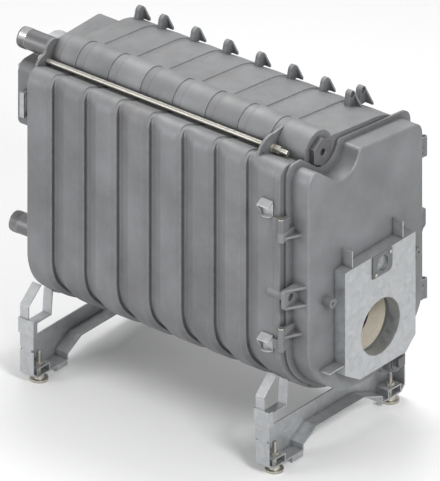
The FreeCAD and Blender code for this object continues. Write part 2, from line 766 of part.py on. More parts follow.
def front_section():
    rear_y = JOINTS[-1]
    rim = FRONT_DEPTH - FRONT_RIM
    sides = [
        (0, GROOVE_DEPTH),
        (GROOVE_FLAT, GROOVE_DEPTH),
        (GROOVE_FLAT + REAR_BEVEL, FRONT_RIM_STEP),
        (rim - FRONT_RIM_STEP, FRONT_RIM_STEP),
        (rim, 0),
        (FRONT_DEPTH - FRONT_CHAMFER, 0),
        (FRONT_DEPTH, FRONT_CHAMFER),
    ]
    parts = [
        section_body(rear_y, sides, roof_grooves(FRONT_DEPTH, True, False)),
        hub_ring(UPPER_HUB_X, UPPER_HUB_Z, UPPER_HUB_RADIUS, rear_y, FRONT_DEPTH),
        hub_ring(LOWER_HUB_X, LOWER_HUB_Z, LOWER_HUB_RADIUS, rear_y, FRONT_DEPTH),
        lower_neck(rear_y, FRONT_DEPTH),
        rod_y(LOWER_HUB_X, LOWER_HUB_Z, NECK_RADIUS, FRONT_Y - NECK_LENGTH, NECK_LENGTH + 5),
    ]
    for index in range(2):
        eye_x = EYE_X + EYE_PITCH * index
        parts.append(roof_lug(eye_x, EYE_WIDTH, EYE_HEIGHT, rear_y - EYE_SETBACK, EYE_THICKNESS,
                              EYE_GUSSET))
    for x, lift, height in fixed_knuckles():
        parts.append(fixed_lug(x, BASE_Z + lift, height))
    parts += [sail_ear(), lower_ear(FRONT_EAR_Y)]
    boss_x = HALF_WIDTH - CLAMP_INSET
    boss_front = FRONT_Y - CLAMP_STANDOFF + SEAT
    for side in (-1, 1):
        parts.append(rod_y(side * boss_x, BASE_Z + CLAMP_LIFT, CLAMP_BOSS_RADIUS, boss_front,
                           CLAMP_STANDOFF + 34))
    cuts = gas_ways(FRONT_Y - 1, rear_y, rear_y)
    upper_roof = BASE_Z + UPPER_PASSAGE_LIFT + PASSAGE_HEIGHT
    cuts.append(turning_space(BASE_Z + LOWER_PASSAGE_LIFT, upper_roof, FRONT_Y - 1,
                              FRONT_Y + TURNING_DEPTH))
    plug_bore = PIPE_RADIUS + FIT
    cuts += [
        rod_y(UPPER_HUB_X, UPPER_HUB_Z, UPPER_PORT_RADIUS, FRONT_Y + PIPE_INSERT + 2,
              FRONT_DEPTH - PIPE_INSERT - 2),
        rod_y(UPPER_HUB_X, UPPER_HUB_Z, plug_bore, FRONT_Y - 1, PIPE_INSERT + 4),
        rod_y(LOWER_HUB_X, LOWER_HUB_Z, LOWER_PORT_RADIUS, FRONT_Y + 12, FRONT_DEPTH - 12),
        rod_y(LOWER_HUB_X, LOWER_HUB_Z, SQUARE_SHANK_RADIUS + FIT, FRONT_Y - NECK_LENGTH - 1,
              NECK_LENGTH + 14),
    ]
    for x, lift, height in fixed_knuckles():
        cuts.append(rod_z(x, HINGE_Y, PIN_RADIUS + PIN_CLEARANCE, BASE_Z + lift - 1, height + 2))
    for side in (-1, 1):
        cuts.append(rod_y(side * boss_x, BASE_Z + CLAMP_LIFT, CLAMP_BOLT_RADIUS, boss_front - 1, 36))
    for index in range(2):
        eye_x = EYE_X + EYE_PITCH * index
        eye_z = roof_height(eye_x) + EYE_HEIGHT - EYE_WIDTH * 0.34
        cuts.append(rod_y(eye_x, eye_z, EYE_HOLE_RADIUS, rear_y - EYE_SETBACK - EYE_THICKNESS - 1,
                          EYE_THICKNESS + 2))
    cuts.append(rod_y(UPPER_ROD_X - SAIL_LEFT * 0.7, UPPER_ROD_Z, EAR_EYE_RADIUS,
                      FRONT_EAR_Y - 1, EAR_THICKNESS + 2))
    for x, z in ROD_PLACES:
        cuts.append(rod_y(x, z, ROD_RADIUS + FIT * 2, FRONT_EAR_Y - 30, 60))
        cuts.append(rod_y(x, z, ROD_POCKET_RADIUS, FRONT_EAR_Y - 60, 60))
    return fuse_all(parts).cut(Part.makeCompound(cuts))


def fixed_knuckles():
    """Knuckles cast on the front section: (x, lift, height)."""
    return [
        (HINGE_X, UPPER_HINGE_LIFT + DOOR_KNUCKLE + KNUCKLE_GAP, FIXED_KNUCKLE),
        (HINGE_X, LOWER_HINGE_LIFT, LOWER_FIXED_KNUCKLE),
        (SPARE_HINGE_X, SPARE_UPPER_LIFT + DOOR_KNUCKLE + KNUCKLE_GAP, LOWER_FIXED_KNUCKLE),
        (SPARE_HINGE_X, SPARE_LOWER_LIFT, LOWER_FIXED_KNUCKLE),
    ]


def door_knuckles():
    """Knuckles cast on the door: (x, lift, height)."""
    above_low = LOWER_FIXED_KNUCKLE + KNUCKLE_GAP
    return [
        (HINGE_X, UPPER_HINGE_LIFT, DOOR_KNUCKLE),
        (HINGE_X, LOWER_HINGE_LIFT + above_low, LOWER_DOOR_KNUCKLE),
        (SPARE_HINGE_X, SPARE_UPPER_LIFT, DOOR_KNUCKLE),
        (SPARE_HINGE_X, SPARE_LOWER_LIFT + above_low, DOOR_KNUCKLE),
    ]


def door_shape(widen):
    """Outline of the door's raised body, or of its flange when widened.

    From the left: shoulder, slope into the scoop round the upper port, the scoop's leaning
    side and the roof.
    """
    shoulder_z = BASE_Z + BLOCK_HEIGHT - DOOR_SHOULDER_DROP + widen
    radius = NOTCH_RADIUS - widen * 0.45
    centre_x = UPPER_HUB_X + NOTCH_SIDE_GAP - widen - radius
    centre_z = UPPER_HUB_Z - NOTCH_SINK + widen * 0.98
    fall = math.radians(NOTCH_FALL)
    lean = math.radians(NOTCH_LEAN)
    slope = (centre_x - radius * math.sin(fall), centre_z - radius * math.cos(fall), -NOTCH_FALL)
    side = (centre_x + radius * math.cos(lean), centre_z - radius * math.sin(lean), 90 - NOTCH_LEAN)
    roof = (centre_x + radius, BASE_Z + BLOCK_HEIGHT - DOOR_TOP_DROP + widen, -DOOR_TOP_FALL)
    rim = DOOR_RIM if widen else 0
    return {
        "half_width": DOOR_BODY_WIDTH / 2 + rim,
        "base": BASE_Z + DOOR_BASE_LIFT - widen * 0.45,
        "rise": DOOR_RISE + widen * 0.45,
        "corner": DOOR_CORNER + widen * 0.45,
        "lines": [(0, shoulder_z, 0), slope, side, roof],
        "radii": [DOOR_LEFT_RADIUS, DOOR_CREST_RADIUS, radius, DOOR_PEAK_RADIUS, DOOR_RIGHT_RADIUS],
    }


DOOR_BODY = door_shape(0)
DOOR_FLANGE_SHAPE = door_shape(DOOR_LEDGE)


def door_slab(shape, inset, y, depth):
    return Part.Face(cast_outline(shape, inset, y)).extrude(vec(0, depth, 0))


def door_front_edge():
    """Bevelled front of the raised body."""
    near = cast_outline(DOOR_BODY, DOOR_EDGE, DOOR_FRONT)
    far = cast_outline(DOOR_BODY, 0, DOOR_FRONT + DOOR_EDGE)
    return Part.makeLoft([near, far], True, True)


def door_clamp(side):
    """Clamp ear with a hole and two ribs that run onto the door's side."""
    x = side * (HALF_WIDTH - CLAMP_INSET)
    z = BASE_Z + CLAMP_LIFT
    half = CLAMP_PLATE / 2
    back = FRONT_Y - CLAMP_STANDOFF
    front = back - CLAMP_THICKNESS
    outline = [(x - half, z - half), (x + half, z - half), (x + half, z + half), (x - half, z + half)]
    plate = prism_y(outline, front, CLAMP_THICKNESS)
    edges = [edge for edge in plate.Edges if is_along_y(edge) and edge.BoundBox.Center.x * side > abs(x)]
    plate = plate.makeFillet(9, edges)
    inner = side * (DOOR_BODY_WIDTH / 2 - 4)
    outer = x + side * half * 0.75
    parts = [plate]
    for low in (z - half, z + half - FIN_PLATE):
        rib = polygon_face([
            vec(outer, front + 1, low),
            vec(inner, front + 1, low),
            vec(inner, DOOR_FRONT + 5, low),
        ]).extrude(vec(0, 0, FIN_PLATE))
        parts.append(rib)
    hole = rod_y(x, z, CLAMP_HOLE_RADIUS, front - 1, CLAMP_THICKNESS + 2)
    room = rod_y(x, z, CLAMP_BOSS_RADIUS + 1.5, back, DOOR_BACK - back + 1)
    return parts, [hole, room]


def is_along_y(edge):
    box = edge.BoundBox
    return box.YLength > 1 and box.XLength < 0.01 and box.ZLength < 0.01


def door_ear(x, low, height):
    """Hinge ear: knuckle, arm to the flange and a flat rib onto the door's side."""
    side = -1 if x < 0 else 1
    inner = side * (DOOR_BODY_WIDTH / 2 - 4)
    arm = block(
        (min(x, inner), HINGE_Y - KNUCKLE_RADIUS * 0.8, low),
        (max(x, inner), HINGE_Y + KNUCKLE_RADIUS * 0.45, low + height),
    )
    barrel = rod_z(x, HINGE_Y, KNUCKLE_RADIUS, low, height)
    rib = polygon_face([
        vec(x, HINGE_Y - KNUCKLE_RADIUS * 0.6, low + height * 0.2),
        vec(inner, HINGE_Y - KNUCKLE_RADIUS * 0.6, low + height * 0.2),
        vec(inner, HINGE_Y - KNUCKLE_RADIUS * 0.6 - 22, low + height * 0.2),
    ]).extrude(vec(0, 0, FIN_PLATE))
    return [arm, barrel, rib]


def door():
    depth = DOOR_BACK - DOOR_FRONT
    body = door_slab(DOOR_BODY, 0, DOOR_FRONT + DOOR_EDGE, depth - DOOR_EDGE)
    flange = door_slab(DOOR_FLANGE_SHAPE, 0, FLANGE_FRONT, DOOR_FLANGE)
    parts = [door_front_edge(), body, flange]
    holes = []
    for side in (-1, 1):
        clamp_parts, clamp_holes = door_clamp(side)
        parts += clamp_parts
        holes += clamp_holes
    for x, lift, height in door_knuckles():
        parts += door_ear(x, BASE_Z + lift, height)
        holes.append(rod_z(x, HINGE_Y, PIN_RADIUS + PIN_CLEARANCE, BASE_Z + lift - 1, height + 2))
    for side in (-1, 1):
        boss_x = BOSS_OFFSET + side * BOSS_X
        boss_z = BASE_Z + BOSS_LIFT
        parts.append(rod_y(boss_x, boss_z, BOSS_RADIUS, DOOR_FRONT - BOSS_LENGTH, BOSS_LENGTH + 2))
        holes.append(rod_y(boss_x, boss_z, BOSS_BORE_RADIUS, DOOR_FRONT - BOSS_LENGTH - 1, 18))
    cavity = door_slab(DOOR_BODY, DOOR_WALL, DOOR_FRONT + DOOR_WALL, depth - DOOR_WALL + 1)
    holes.append(cavity)
    holes.append(rod_y(BURNER_X, BURNER_Z, BURNER_RADIUS, DOOR_FRONT - 1, DOOR_WALL + 2))
    return fuse_all(parts).cut(Part.makeCompound(holes))


def door_seal():
    """Rope ring between the pan's wall and the insulation."""
    front = DOOR_BACK - SEAL_DEPTH
    depth = SEAL_DEPTH + DOOR_GAP - SEAT
    outer = door_slab(DOOR_BODY, DOOR_WALL + SEAT, front, depth)
    inner = door_slab(DOOR_BODY, DOOR_WALL + SEAT + SEAL_WIDTH, front - 1, depth + 2)
    return outer.cut(inner)


def door_insulation():
    """Fibre block that fills the door pan, stepped back round its edge for the rope."""
    deep_front = DOOR_FRONT + DOOR_WALL + SEAT
    back = DOOR_BACK - 2
    step = DOOR_BACK - SEAL_DEPTH - SEAT
    wide = door_slab(DOOR_BODY, DOOR_WALL + SEAT, deep_front, step - deep_front)
    narrow = door_slab(DOOR_BODY, DOOR_WALL + SEAL_WIDTH + 2 * SEAT, step - 1, back - step + 1)
    hole = rod_y(BURNER_X, BURNER_Z, BURNER_RADIUS, deep_front - 1, back - deep_front + 2)
    return wide.fuse(narrow).removeSplitter().cut(hole)


def hinge_pin(low, height):
    """Headed pin dropped through the two knuckles of one hinge."""
    shank = rod_z(HINGE_X, HINGE_Y, PIN_RADIUS, low - 2, height + 2)
    head = rod_z(HINGE_X, HINGE_Y, PIN_HEAD_RADIUS, low + height + SEAT, PIN_HEAD_HEIGHT)
    neck = rod_z(HINGE_X, HINGE_Y, PIN_RADIUS, low + height - 0.5, SEAT + 1)
    return fuse_all([shank, neck, head])


def box_outline(inset):
    left = BOX_X - BOX_WIDTH / 2 + inset
    right = BOX_X + BOX_WIDTH / 2 - inset
    low = BASE_Z + BOX_LIFT + inset
    high = BASE_Z + BOX_LIFT + BOX_HEIGHT - inset
    return [
        (left, low + BOX_CHAMFER_HEIGHT),
        (left, high),
        (right, high),
        (right, low + BOX_CHAMFER_HEIGHT),
        (right - BOX_CHAMFER_RIGHT, low),
        (left + BOX_CHAMFER_LEFT, low),
    ]


def burner_box():
    """Sheet hood folded round the burner opening, with three fixing tabs."""
    back = DOOR_FRONT - SEAT
    depth = back - BOX_FRONT
    shell = prism_y(box_outline(0), BOX_FRONT, depth)
    inside = prism_y(box_outline(BOX_SHEET), BOX_FRONT + BOX_SHEET, depth)
    hole = rod_y(BURNER_X, BURNER_Z, BURNER_RADIUS, BOX_FRONT - 1, BOX_SHEET + 2)
    sight = rod_y(port_x(), port_z(), PORT_HOLE_RADIUS, BOX_FRONT - 1, BOX_SHEET + 2)
    top = BASE_Z + BOX_LIFT + BOX_HEIGHT
    left = BOX_X - BOX_WIDTH / 2
    right = BOX_X + BOX_WIDTH / 2
    parts = [shell.cut(Part.makeCompound([inside, hole, sight]))]
    for x in (left + TAB_X_LEFT, right - TAB_X_RIGHT):
        parts.append(block((x, back - TAB_WIDTH, top - 0.5), (x + TAB_SHEET, back, top + TAB_LENGTH)))
    side_z = BASE_Z + BOX_LIFT + SIDE_TAB_LIFT + BOX_CHAMFER_HEIGHT
    parts.append(block((left - SIDE_TAB_LENGTH, back - TAB_WIDTH, side_z),
                       (left + 0.5, back, side_z + TAB_SHEET)))
    return fuse_all(parts)


def burner_sleeve():
    """Rolled liner between the box front and the door's burner opening."""
    start = BOX_FRONT + BOX_SHEET + SEAT
    length = DOOR_FRONT - SEAT - start
    outer = rod_y(BURNER_X, BURNER_Z, BURNER_RADIUS + SLEEVE_WALL, start, length)
    inner = rod_y(BURNER_X, BURNER_Z, BURNER_RADIUS, start - 1, length + 2)
    return outer.cut(inner)


def port_x():
    return BOX_X + PORT_X


def port_z():
    return BASE_Z + BOX_LIFT + BOX_HEIGHT - PORT_HEIGHT / 2


def port_screw_places():
    reach_x = PORT_WIDTH / 2 - PORT_SCREW_INSET
    reach_z = PORT_HEIGHT / 2 - PORT_SCREW_INSET
    return [(port_x() + reach_x, port_z() + reach_z), (port_x() - reach_x, port_z() - reach_z)]


def sight_port():
    """Small flange with a round window, held by two screws."""
    half = PORT_WIDTH / 2
    tall = PORT_HEIGHT / 2
    outline = [(port_x() - half, port_z() - tall), (port_x() + half, port_z() - tall),
               (port_x() + half, port_z() + tall), (port_x() - half, port_z() + tall)]
    front = BOX_FRONT - PORT_SHEET - SEAT
    plate = prism_y(outline, front, PORT_SHEET)
    right = [edge for edge in plate.Edges if is_along_y(edge)
             and edge.BoundBox.Center.z < port_z() and edge.BoundBox.Center.x > port_x()]
    plate = plate.makeFillet(PORT_CORNER, right)
    cuts = [rod_y(port_x(), port_z(), PORT_HOLE_RADIUS, front - 1, PORT_SHEET + 2)]
    for x, z in port_screw_places():
        cuts.append(rod_y(x, z, PORT_SCREW_RADIUS + FIT, front - 1, PORT_SHEET + 2))
    return plate.cut(Part.makeCompound(cuts))



def curved_face(start, steps, y):
    """Flat face in the XZ plane from steps, each an end point or a (bulge, end) pair."""
    edges = []
    here = vec(start[0], y, start[1])
    for step in steps + [start]:
        if isinstance(step[0], tuple):
            (bulge_x, bulge_z), (end_x, end_z) = step
            there = vec(end_x, y, end_z)
            edges.append(Part.Arc(here, vec(bulge_x, y, bulge_z), there).toShape())
        else:
            there = vec(step[0], y, step[1])
            edges.append(Part.makeLine(here, there))
        here = there
    return Part.Face(Part.Wire(edges))


def sail_ear():
    """Ear cast on the front section: a sail that sweeps from the shoulder up to the port."""
    x, z = UPPER_ROD_X, UPPER_ROD_Z
    left, top = x - SAIL_LEFT, z + SAIL_TOP
    steps = [
        (left, z + SAIL_TOP * 0.05),
        ((x - SAIL_LEFT * 0.6, z + SAIL_TOP * 0.72), (x + SAIL_LEFT * 0.12, top - SAIL_TOP * 0.1)),
        (x + EAR_RIGHT * 0.66, top),
        (x + EAR_RIGHT, z),
        (x + EAR_RIGHT * 0.7, z - EAR_ROOT),
    ]
    return curved_face((left, z - EAR_ROOT * 0.8), steps, FRONT_EAR_Y).extrude(vec(0, EAR_THICKNESS, 0))


def swan_ear():
    """Rear ear plate: a rounded head beside the port, a waist at the rod and a rounded foot."""
    x, z = UPPER_ROD_X, UPPER_ROD_Z
    waist = (x - EAR_LEFT * 0.42, z + EAR_TOP * 0.4)
    neck = (x - EAR_LEFT * 0.08, z + EAR_TOP * 0.72)
    steps = [
        (x - EAR_LEFT, z - EAR_TOP * 0.2),
        ((x - EAR_LEFT * 0.84, z + EAR_TOP * 0.2), waist),
        ((x - EAR_LEFT * 0.17, z + EAR_TOP * 0.52), neck),
        ((x + EAR_RIGHT * 0.12, z + EAR_TOP * 0.95), (x + EAR_RIGHT * 0.5, z + EAR_TOP)),
        (x + EAR_RIGHT * 0.86, z + EAR_TOP * 0.8),
        (x + EAR_RIGHT, z),
        (x + EAR_RIGHT * 0.9, z - EAR_ROOT),
    ]
    return curved_face((x - EAR_LEFT, z - EAR_ROOT), steps, REAR_Y).extrude(vec(0, EAR_THICKNESS, 0))


def lower_ear_top():
    return belly_height(LOWER_ROD_X, 0) + LOWER_EAR_LAP


def lower_ear(front_y):
    """Ear under the belly for the lower tie rod."""
    x, z = LOWER_ROD_X, LOWER_ROD_Z
    half = LOWER_EAR_HALF
    top = lower_ear_top()
    steps = [(x - half, z), ((x, z - LOWER_EAR_DROP), (x + half, z)), (x + half, top)]
    return curved_face((x - half, top), steps, front_y).extrude(vec(0, EAR_THICKNESS, 0))


def lower_ear_screws():
    """Places of the two screws of the lower rear ear."""
    z = lower_ear_top() - LOWER_EAR_SCREW_TOP
    return [(LOWER_ROD_X + side * LOWER_EAR_SCREW_SPREAD, z) for side in (-1, 1)]


def rear_ear(shape, rod, screws):
    """Ear plate screwed to the back of the rear section."""
    cuts = [rod_y(rod[0], rod[1], ROD_RADIUS + FIT * 2, REAR_Y - 1, EAR_THICKNESS + 2)]
    for x, z in screws:
        cuts.append(rod_y(x, z, EAR_SCREW_RADIUS + FIT, REAR_Y - 1, EAR_THICKNESS + 2))
    return shape.cut(Part.makeCompound(cuts))


def upper_rear_ear():
    port = rod_y(UPPER_HUB_X, UPPER_HUB_Z, PIPE_RADIUS + SEAT, REAR_Y - 1, EAR_THICKNESS + 2)
    return rear_ear(swan_ear().cut(port), ROD_PLACES[0], UPPER_EAR_SCREWS)


def lower_rear_ear():
    return rear_ear(lower_ear(REAR_Y), ROD_PLACES[1], lower_ear_screws())


def cap_screw_y(x, z, head_y, depth, radius, head_radius, head_height):
    """Screw with a round head, its shank running forward from head_y."""
    shank = rod_y(x, z, radius, head_y - depth, depth + 0.5)
    head = turned_y(x, z, [
        (head_y, 0),
        (head_y, head_radius),
        (head_y + head_height * 0.6, head_radius),
        (head_y + head_height, head_radius * 0.7),
        (head_y + head_height, 0),
    ])
    return shank.fuse(head)


def rear_ear_screws():
    screws = []
    for x, z in UPPER_EAR_SCREWS + lower_ear_screws():
        screws.append(cap_screw_y(x, z, REAR_Y + EAR_THICKNESS, EAR_SCREW_DEPTH + EAR_THICKNESS,
                                  EAR_SCREW_RADIUS, EAR_SCREW_HEAD, 5))
    return screws


def tie_rod(x, z):
    back = REAR_Y + EAR_THICKNESS + WASHER_THICKNESS + NUT_HEIGHT + 4
    front = FRONT_EAR_Y - WASHER_THICKNESS - 2 * NUT_HEIGHT - ROD_PROJECTION * 0.6
    return rod_y(x, z, ROD_RADIUS, front, back - front)


def nut_y(x, z, flats, bore, y, height):
    return hex_y(x, z, flats, y, height).cut(rod_y(x, z, bore, y - 1, height + 2))


def rod_nuts():
    nuts = []
    for x, z in ROD_PLACES:
        front = FRONT_EAR_Y - WASHER_THICKNESS
        nuts.append(nut_y(x, z, NUT_FLATS, ROD_RADIUS, front - NUT_HEIGHT, NUT_HEIGHT))
        nuts.append(nut_y(x, z, NUT_FLATS, ROD_RADIUS, front - 2 * NUT_HEIGHT - SEAT, NUT_HEIGHT))
        back = REAR_Y + EAR_THICKNESS + WASHER_THICKNESS
        nuts.append(nut_y(x, z, NUT_FLATS, ROD_RADIUS, back, NUT_HEIGHT))
    return nuts


def rod_washers():
    washers = []
    for x, z in ROD_PLACES:
        for y in (FRONT_EAR_Y - WASHER_THICKNESS, REAR_Y + EAR_THICKNESS):
            ring = rod_y(x, z, WASHER_RADIUS, y, WASHER_THICKNESS)
            washers.append(ring.cut(rod_y(x, z, ROD_RADIUS + FIT, y - 1, WASHER_THICKNESS + 2)))
    return washers


def nipples(x, z, radius):
    """Push nipples, one across each joint between sections."""
    rings = []
    for joint in JOINTS:
        start = joint - NIPPLE_LENGTH / 2
        outer = rod_y(x, z, radius, start, NIPPLE_LENGTH)
        rings.append(outer.cut(rod_y(x, z, radius - NIPPLE_WALL, start - 1, NIPPLE_LENGTH + 2)))
    return rings


def pipe_stub(x, z, seat_y, reach):
    """Threaded pipe end standing out of the back."""
    start = seat_y - PIPE_INSERT
    plain = PIPE_INSERT + reach - THREAD_LENGTH
    outer = rod_y(x, z, PIPE_RADIUS, start, plain)
    outer = outer.fuse(rod_y(x, z, PIPE_RADIUS - THREAD_DEPTH, start + plain, THREAD_LENGTH))
    return outer.cut(rod_y(x, z, PIPE_RADIUS - PIPE_WALL, start - 1, PIPE_INSERT + reach + 2))


def hex_plug():
    head = hex_y(UPPER_HUB_X, UPPER_HUB_Z, HEX_FLATS, FRONT_Y - HEX_HEIGHT, HEX_HEIGHT)
    shank = rod_y(UPPER_HUB_X, UPPER_HUB_Z, PIPE_RADIUS, FRONT_Y - 0.5, PIPE_INSERT)
    bore = rod_y(UPPER_HUB_X, UPPER_HUB_Z, HEX_BORE_RADIUS, FRONT_Y - HEX_HEIGHT - 1, HEX_HEIGHT + 6)
    return head.fuse(shank).cut(bore)


def square_plug():
    front = FRONT_Y - NECK_LENGTH
    half = SQUARE_FLATS / 2
    head = block((LOWER_HUB_X - half, front - SQUARE_LENGTH, LOWER_HUB_Z - half),
                 (LOWER_HUB_X + half, front, LOWER_HUB_Z + half))
    collar = rod_y(LOWER_HUB_X, LOWER_HUB_Z, NECK_RADIUS - 4, front - 3, 3)
    shank = rod_y(LOWER_HUB_X, LOWER_HUB_Z, SQUARE_SHANK_RADIUS, front - 0.5, NECK_LENGTH + 10)
    return fuse_all([head, collar, shank])


def rounded_block(x, z, width, height, corner, y, depth):
    """Box along Y with its four long edges rounded."""
    solid = block((x - width / 2, y, z - height / 2), (x + width / 2, y + depth, z + height / 2))
    return solid.makeFillet(corner, [edge for edge in solid.Edges if is_along_y(edge)])


def collector_stud_places():
    reach_x = COLLECTOR_WIDTH / 2 - STUD_INSET
    reach_z = COLLECTOR_HEIGHT / 2 - STUD_INSET
    middle = COLLECTOR_Z + COLLECTOR_HEIGHT / 2
    return [(COLLECTOR_X + side * reach_x, middle + rise * reach_z)
            for side in (-1, 1) for rise in (-1, 1)]


def flue_collector():
    """Hood over the flue passages, bored for the flue spigot and its four studs."""
    middle = COLLECTOR_Z + COLLECTOR_HEIGHT / 2
    depth = COLLECTOR_BACK_Y - COLLECTOR_BASE_Y
    wall = COLLECTOR_WALL
    hood = rounded_block(COLLECTOR_X, middle, COLLECTOR_WIDTH, COLLECTOR_HEIGHT, COLLECTOR_CORNER,
                         COLLECTOR_BASE_Y, depth)
    inside = rounded_block(COLLECTOR_X, middle, COLLECTOR_WIDTH - 2 * wall,
                           COLLECTOR_HEIGHT - 2 * wall, COLLECTOR_CORNER - wall,
                           COLLECTOR_BASE_Y - 1, depth - wall + 1)
    cuts = [inside, rod_y(FLUE_X, middle, FLUE_RADIUS, COLLECTOR_BACK_Y - wall - 1, wall + 2)]
    for x, z in collector_stud_places():
        cuts.append(rod_y(x, z, COLLECTOR_STUD_RADIUS + FIT, COLLECTOR_BACK_Y - wall - 1, wall + 2))
    return hood.cut(Part.makeCompound(cuts))


def flue_spigot():
    """Round collar for the flue pipe, its lip flat on the hood and its root in the hood's hole."""
    middle = COLLECTOR_Z + COLLECTOR_HEIGHT / 2
    root = rod_y(FLUE_X, middle, FLUE_RADIUS - FIT, COLLECTOR_BACK_Y - COLLECTOR_WALL,
                 COLLECTOR_WALL + 1)
    lip = rod_y(FLUE_X, middle, FLUE_RADIUS + FLUE_COLLAR, COLLECTOR_BACK_Y, FLUE_SHEET)
    pipe = rod_y(FLUE_X, middle, FLUE_RADIUS, COLLECTOR_BACK_Y + 1, FLUE_LENGTH - 1)
    bore = rod_y(FLUE_X, middle, FLUE_RADIUS - FLUE_WALL, COLLECTOR_BACK_Y - COLLECTOR_WALL - 1,
                 FLUE_LENGTH + COLLECTOR_WALL + 2)
    return fuse_all([root, lip, pipe]).cut(bore)


def collector_clip():
    """Bent strap on the left wall of the hood."""
    left = COLLECTOR_X - COLLECTOR_WIDTH / 2
    low = COLLECTOR_Z + COLLECTOR_HEIGHT / 2 - HANDLE_HEIGHT / 2 - HANDLE_DROP
    y = COLLECTOR_BACK_Y - 30
    outer = block((left - HANDLE_REACH, y, low), (left, y + HANDLE_WIDTH, low + HANDLE_HEIGHT))
    inner = block((left - HANDLE_REACH + HANDLE_SHEET, y - 1, low + HANDLE_SHEET),
                  (left + 1, y + HANDLE_WIDTH + 1, low + HANDLE_HEIGHT - HANDLE_SHEET))
    return outer.cut(inner)


def collector_gasket():
    middle = COLLECTOR_Z + COLLECTOR_HEIGHT / 2
    outer = rounded_block(COLLECTOR_X, middle, COLLECTOR_WIDTH, COLLECTOR_HEIGHT, COLLECTOR_CORNER,
                          REAR_Y, GASKET_THICKNESS)
    inner = rounded_block(COLLECTOR_X, middle, COLLECTOR_WIDTH - 2 * COLLECTOR_WALL,
                          COLLECTOR_HEIGHT - 2 * COLLECTOR_WALL, COLLECTOR_CORNER - COLLECTOR_WALL,
                          REAR_Y - 1, GASKET_THICKNESS + 2)
    return outer.cut(inner)


def collector_studs():
    start = REAR_Y - EAR_SCREW_DEPTH
    length = COLLECTOR_BACK_Y + DOME_NUT_HEIGHT - 2 - start
    return [rod_y(x, z, COLLECTOR_STUD_RADIUS, start, length) for x, z in collector_stud_places()]


def collector_nuts():
    """Domed nuts on the studs."""
    nuts = []
    for x, z in collector_stud_places():
        base = hex_y(x, z, DOME_NUT_FLATS, COLLECTOR_BACK_Y, DOME_NUT_HEIGHT)
        dome = turned_y(x, z, [
            (COLLECTOR_BACK_Y + DOME_NUT_HEIGHT - 0.5, 0),
            (COLLECTOR_BACK_Y + DOME_NUT_HEIGHT - 0.5, DOME_NUT_FLATS * 0.46),
            (COLLECTOR_BACK_Y + DOME_NUT_HEIGHT + 3, DOME_NUT_FLATS * 0.3),
            (COLLECTOR_BACK_Y + DOME_NUT_HEIGHT + 4.5, 0),
        ])
        socket = rod_y(x, z, COLLECTOR_STUD_RADIUS, COLLECTOR_BACK_Y - 1, DOME_NUT_HEIGHT - 1)
        nuts.append(base.fuse(dome).cut(socket))
    return nuts


def side_bracket(lift):
    """Folded hook bracket: back plate, sloping roof, side cheek and rounded floor lip."""
    back_x = -HALF_WIDTH + FRONT_RIM_STEP
    face_x = back_x - BRACKET_SHEET
    front = FRONT_Y + BRACKET_SETBACK
    rear = front + BRACKET_WIDTH
    low = BASE_Z + lift
    high = low + BRACKET_HEIGHT
    tip = face_x - BRACKET_REACH
    plate = block((face_x, front, low), (back_x, rear, high))
    roof = polygon_face([
        vec(back_x, front, high), vec(back_x, front, high - BRACKET_SHEET),
        vec(face_x, front, high - BRACKET_SHEET), vec(tip, front, high - 11 - BRACKET_SHEET),
        vec(tip, front, high - 11), vec(face_x, front, high),
    ]).extrude(vec(0, BRACKET_WIDTH, 0))
    cheek = polygon_face([
        vec(back_x, rear, high), vec(tip, rear, high - 11), vec(tip, rear, high - 15),
        vec(face_x, rear, low), vec(back_x, rear, low),
    ]).extrude(vec(0, -BRACKET_SHEET, 0))
    lip = Part.makeCylinder(BRACKET_WIDTH / 2, BRACKET_SHEET,
                            vec(face_x + 4, (front + rear) / 2, low), vec(0, 0, 1))
    lip = lip.common(block((face_x - 20, front, low - 1), (back_x, rear, high)))
    hole = Part.makeCylinder(BRACKET_HOLE_RADIUS, BRACKET_SHEET + 2,
                             vec(face_x - 1, rear - 10, (low + high) / 2), vec(1, 0, 0))
    return fuse_all([plate, roof, cheek, lip]).cut(hole)


def arch_path(offset):
    """Underside of a rail from its left end to its right end."""
    low = RAIL_BASE + offset
    step = low + ARCH_STEP
    high = low + ARCH_HEIGHT
    end = POST_X - offset
    return [
        (-end, low + RAIL_END_RISE - offset * 0.5), (-end + RAIL_END_RISE, low),
        (-ARCH_LEFT_FOOT - offset, low), (-ARCH_LEFT_FOOT - offset, step),
        (-ARCH_LEFT_TOP - offset * 0.6, high), (ARCH_RIGHT_TOP + offset * 0.6, high),
        (ARCH_RIGHT_FOOT + offset, step), (ARCH_RIGHT_FOOT + offset, low),
        (end - RAIL_END_RISE, low), (end, low + RAIL_END_RISE - offset * 0.5),
    ]


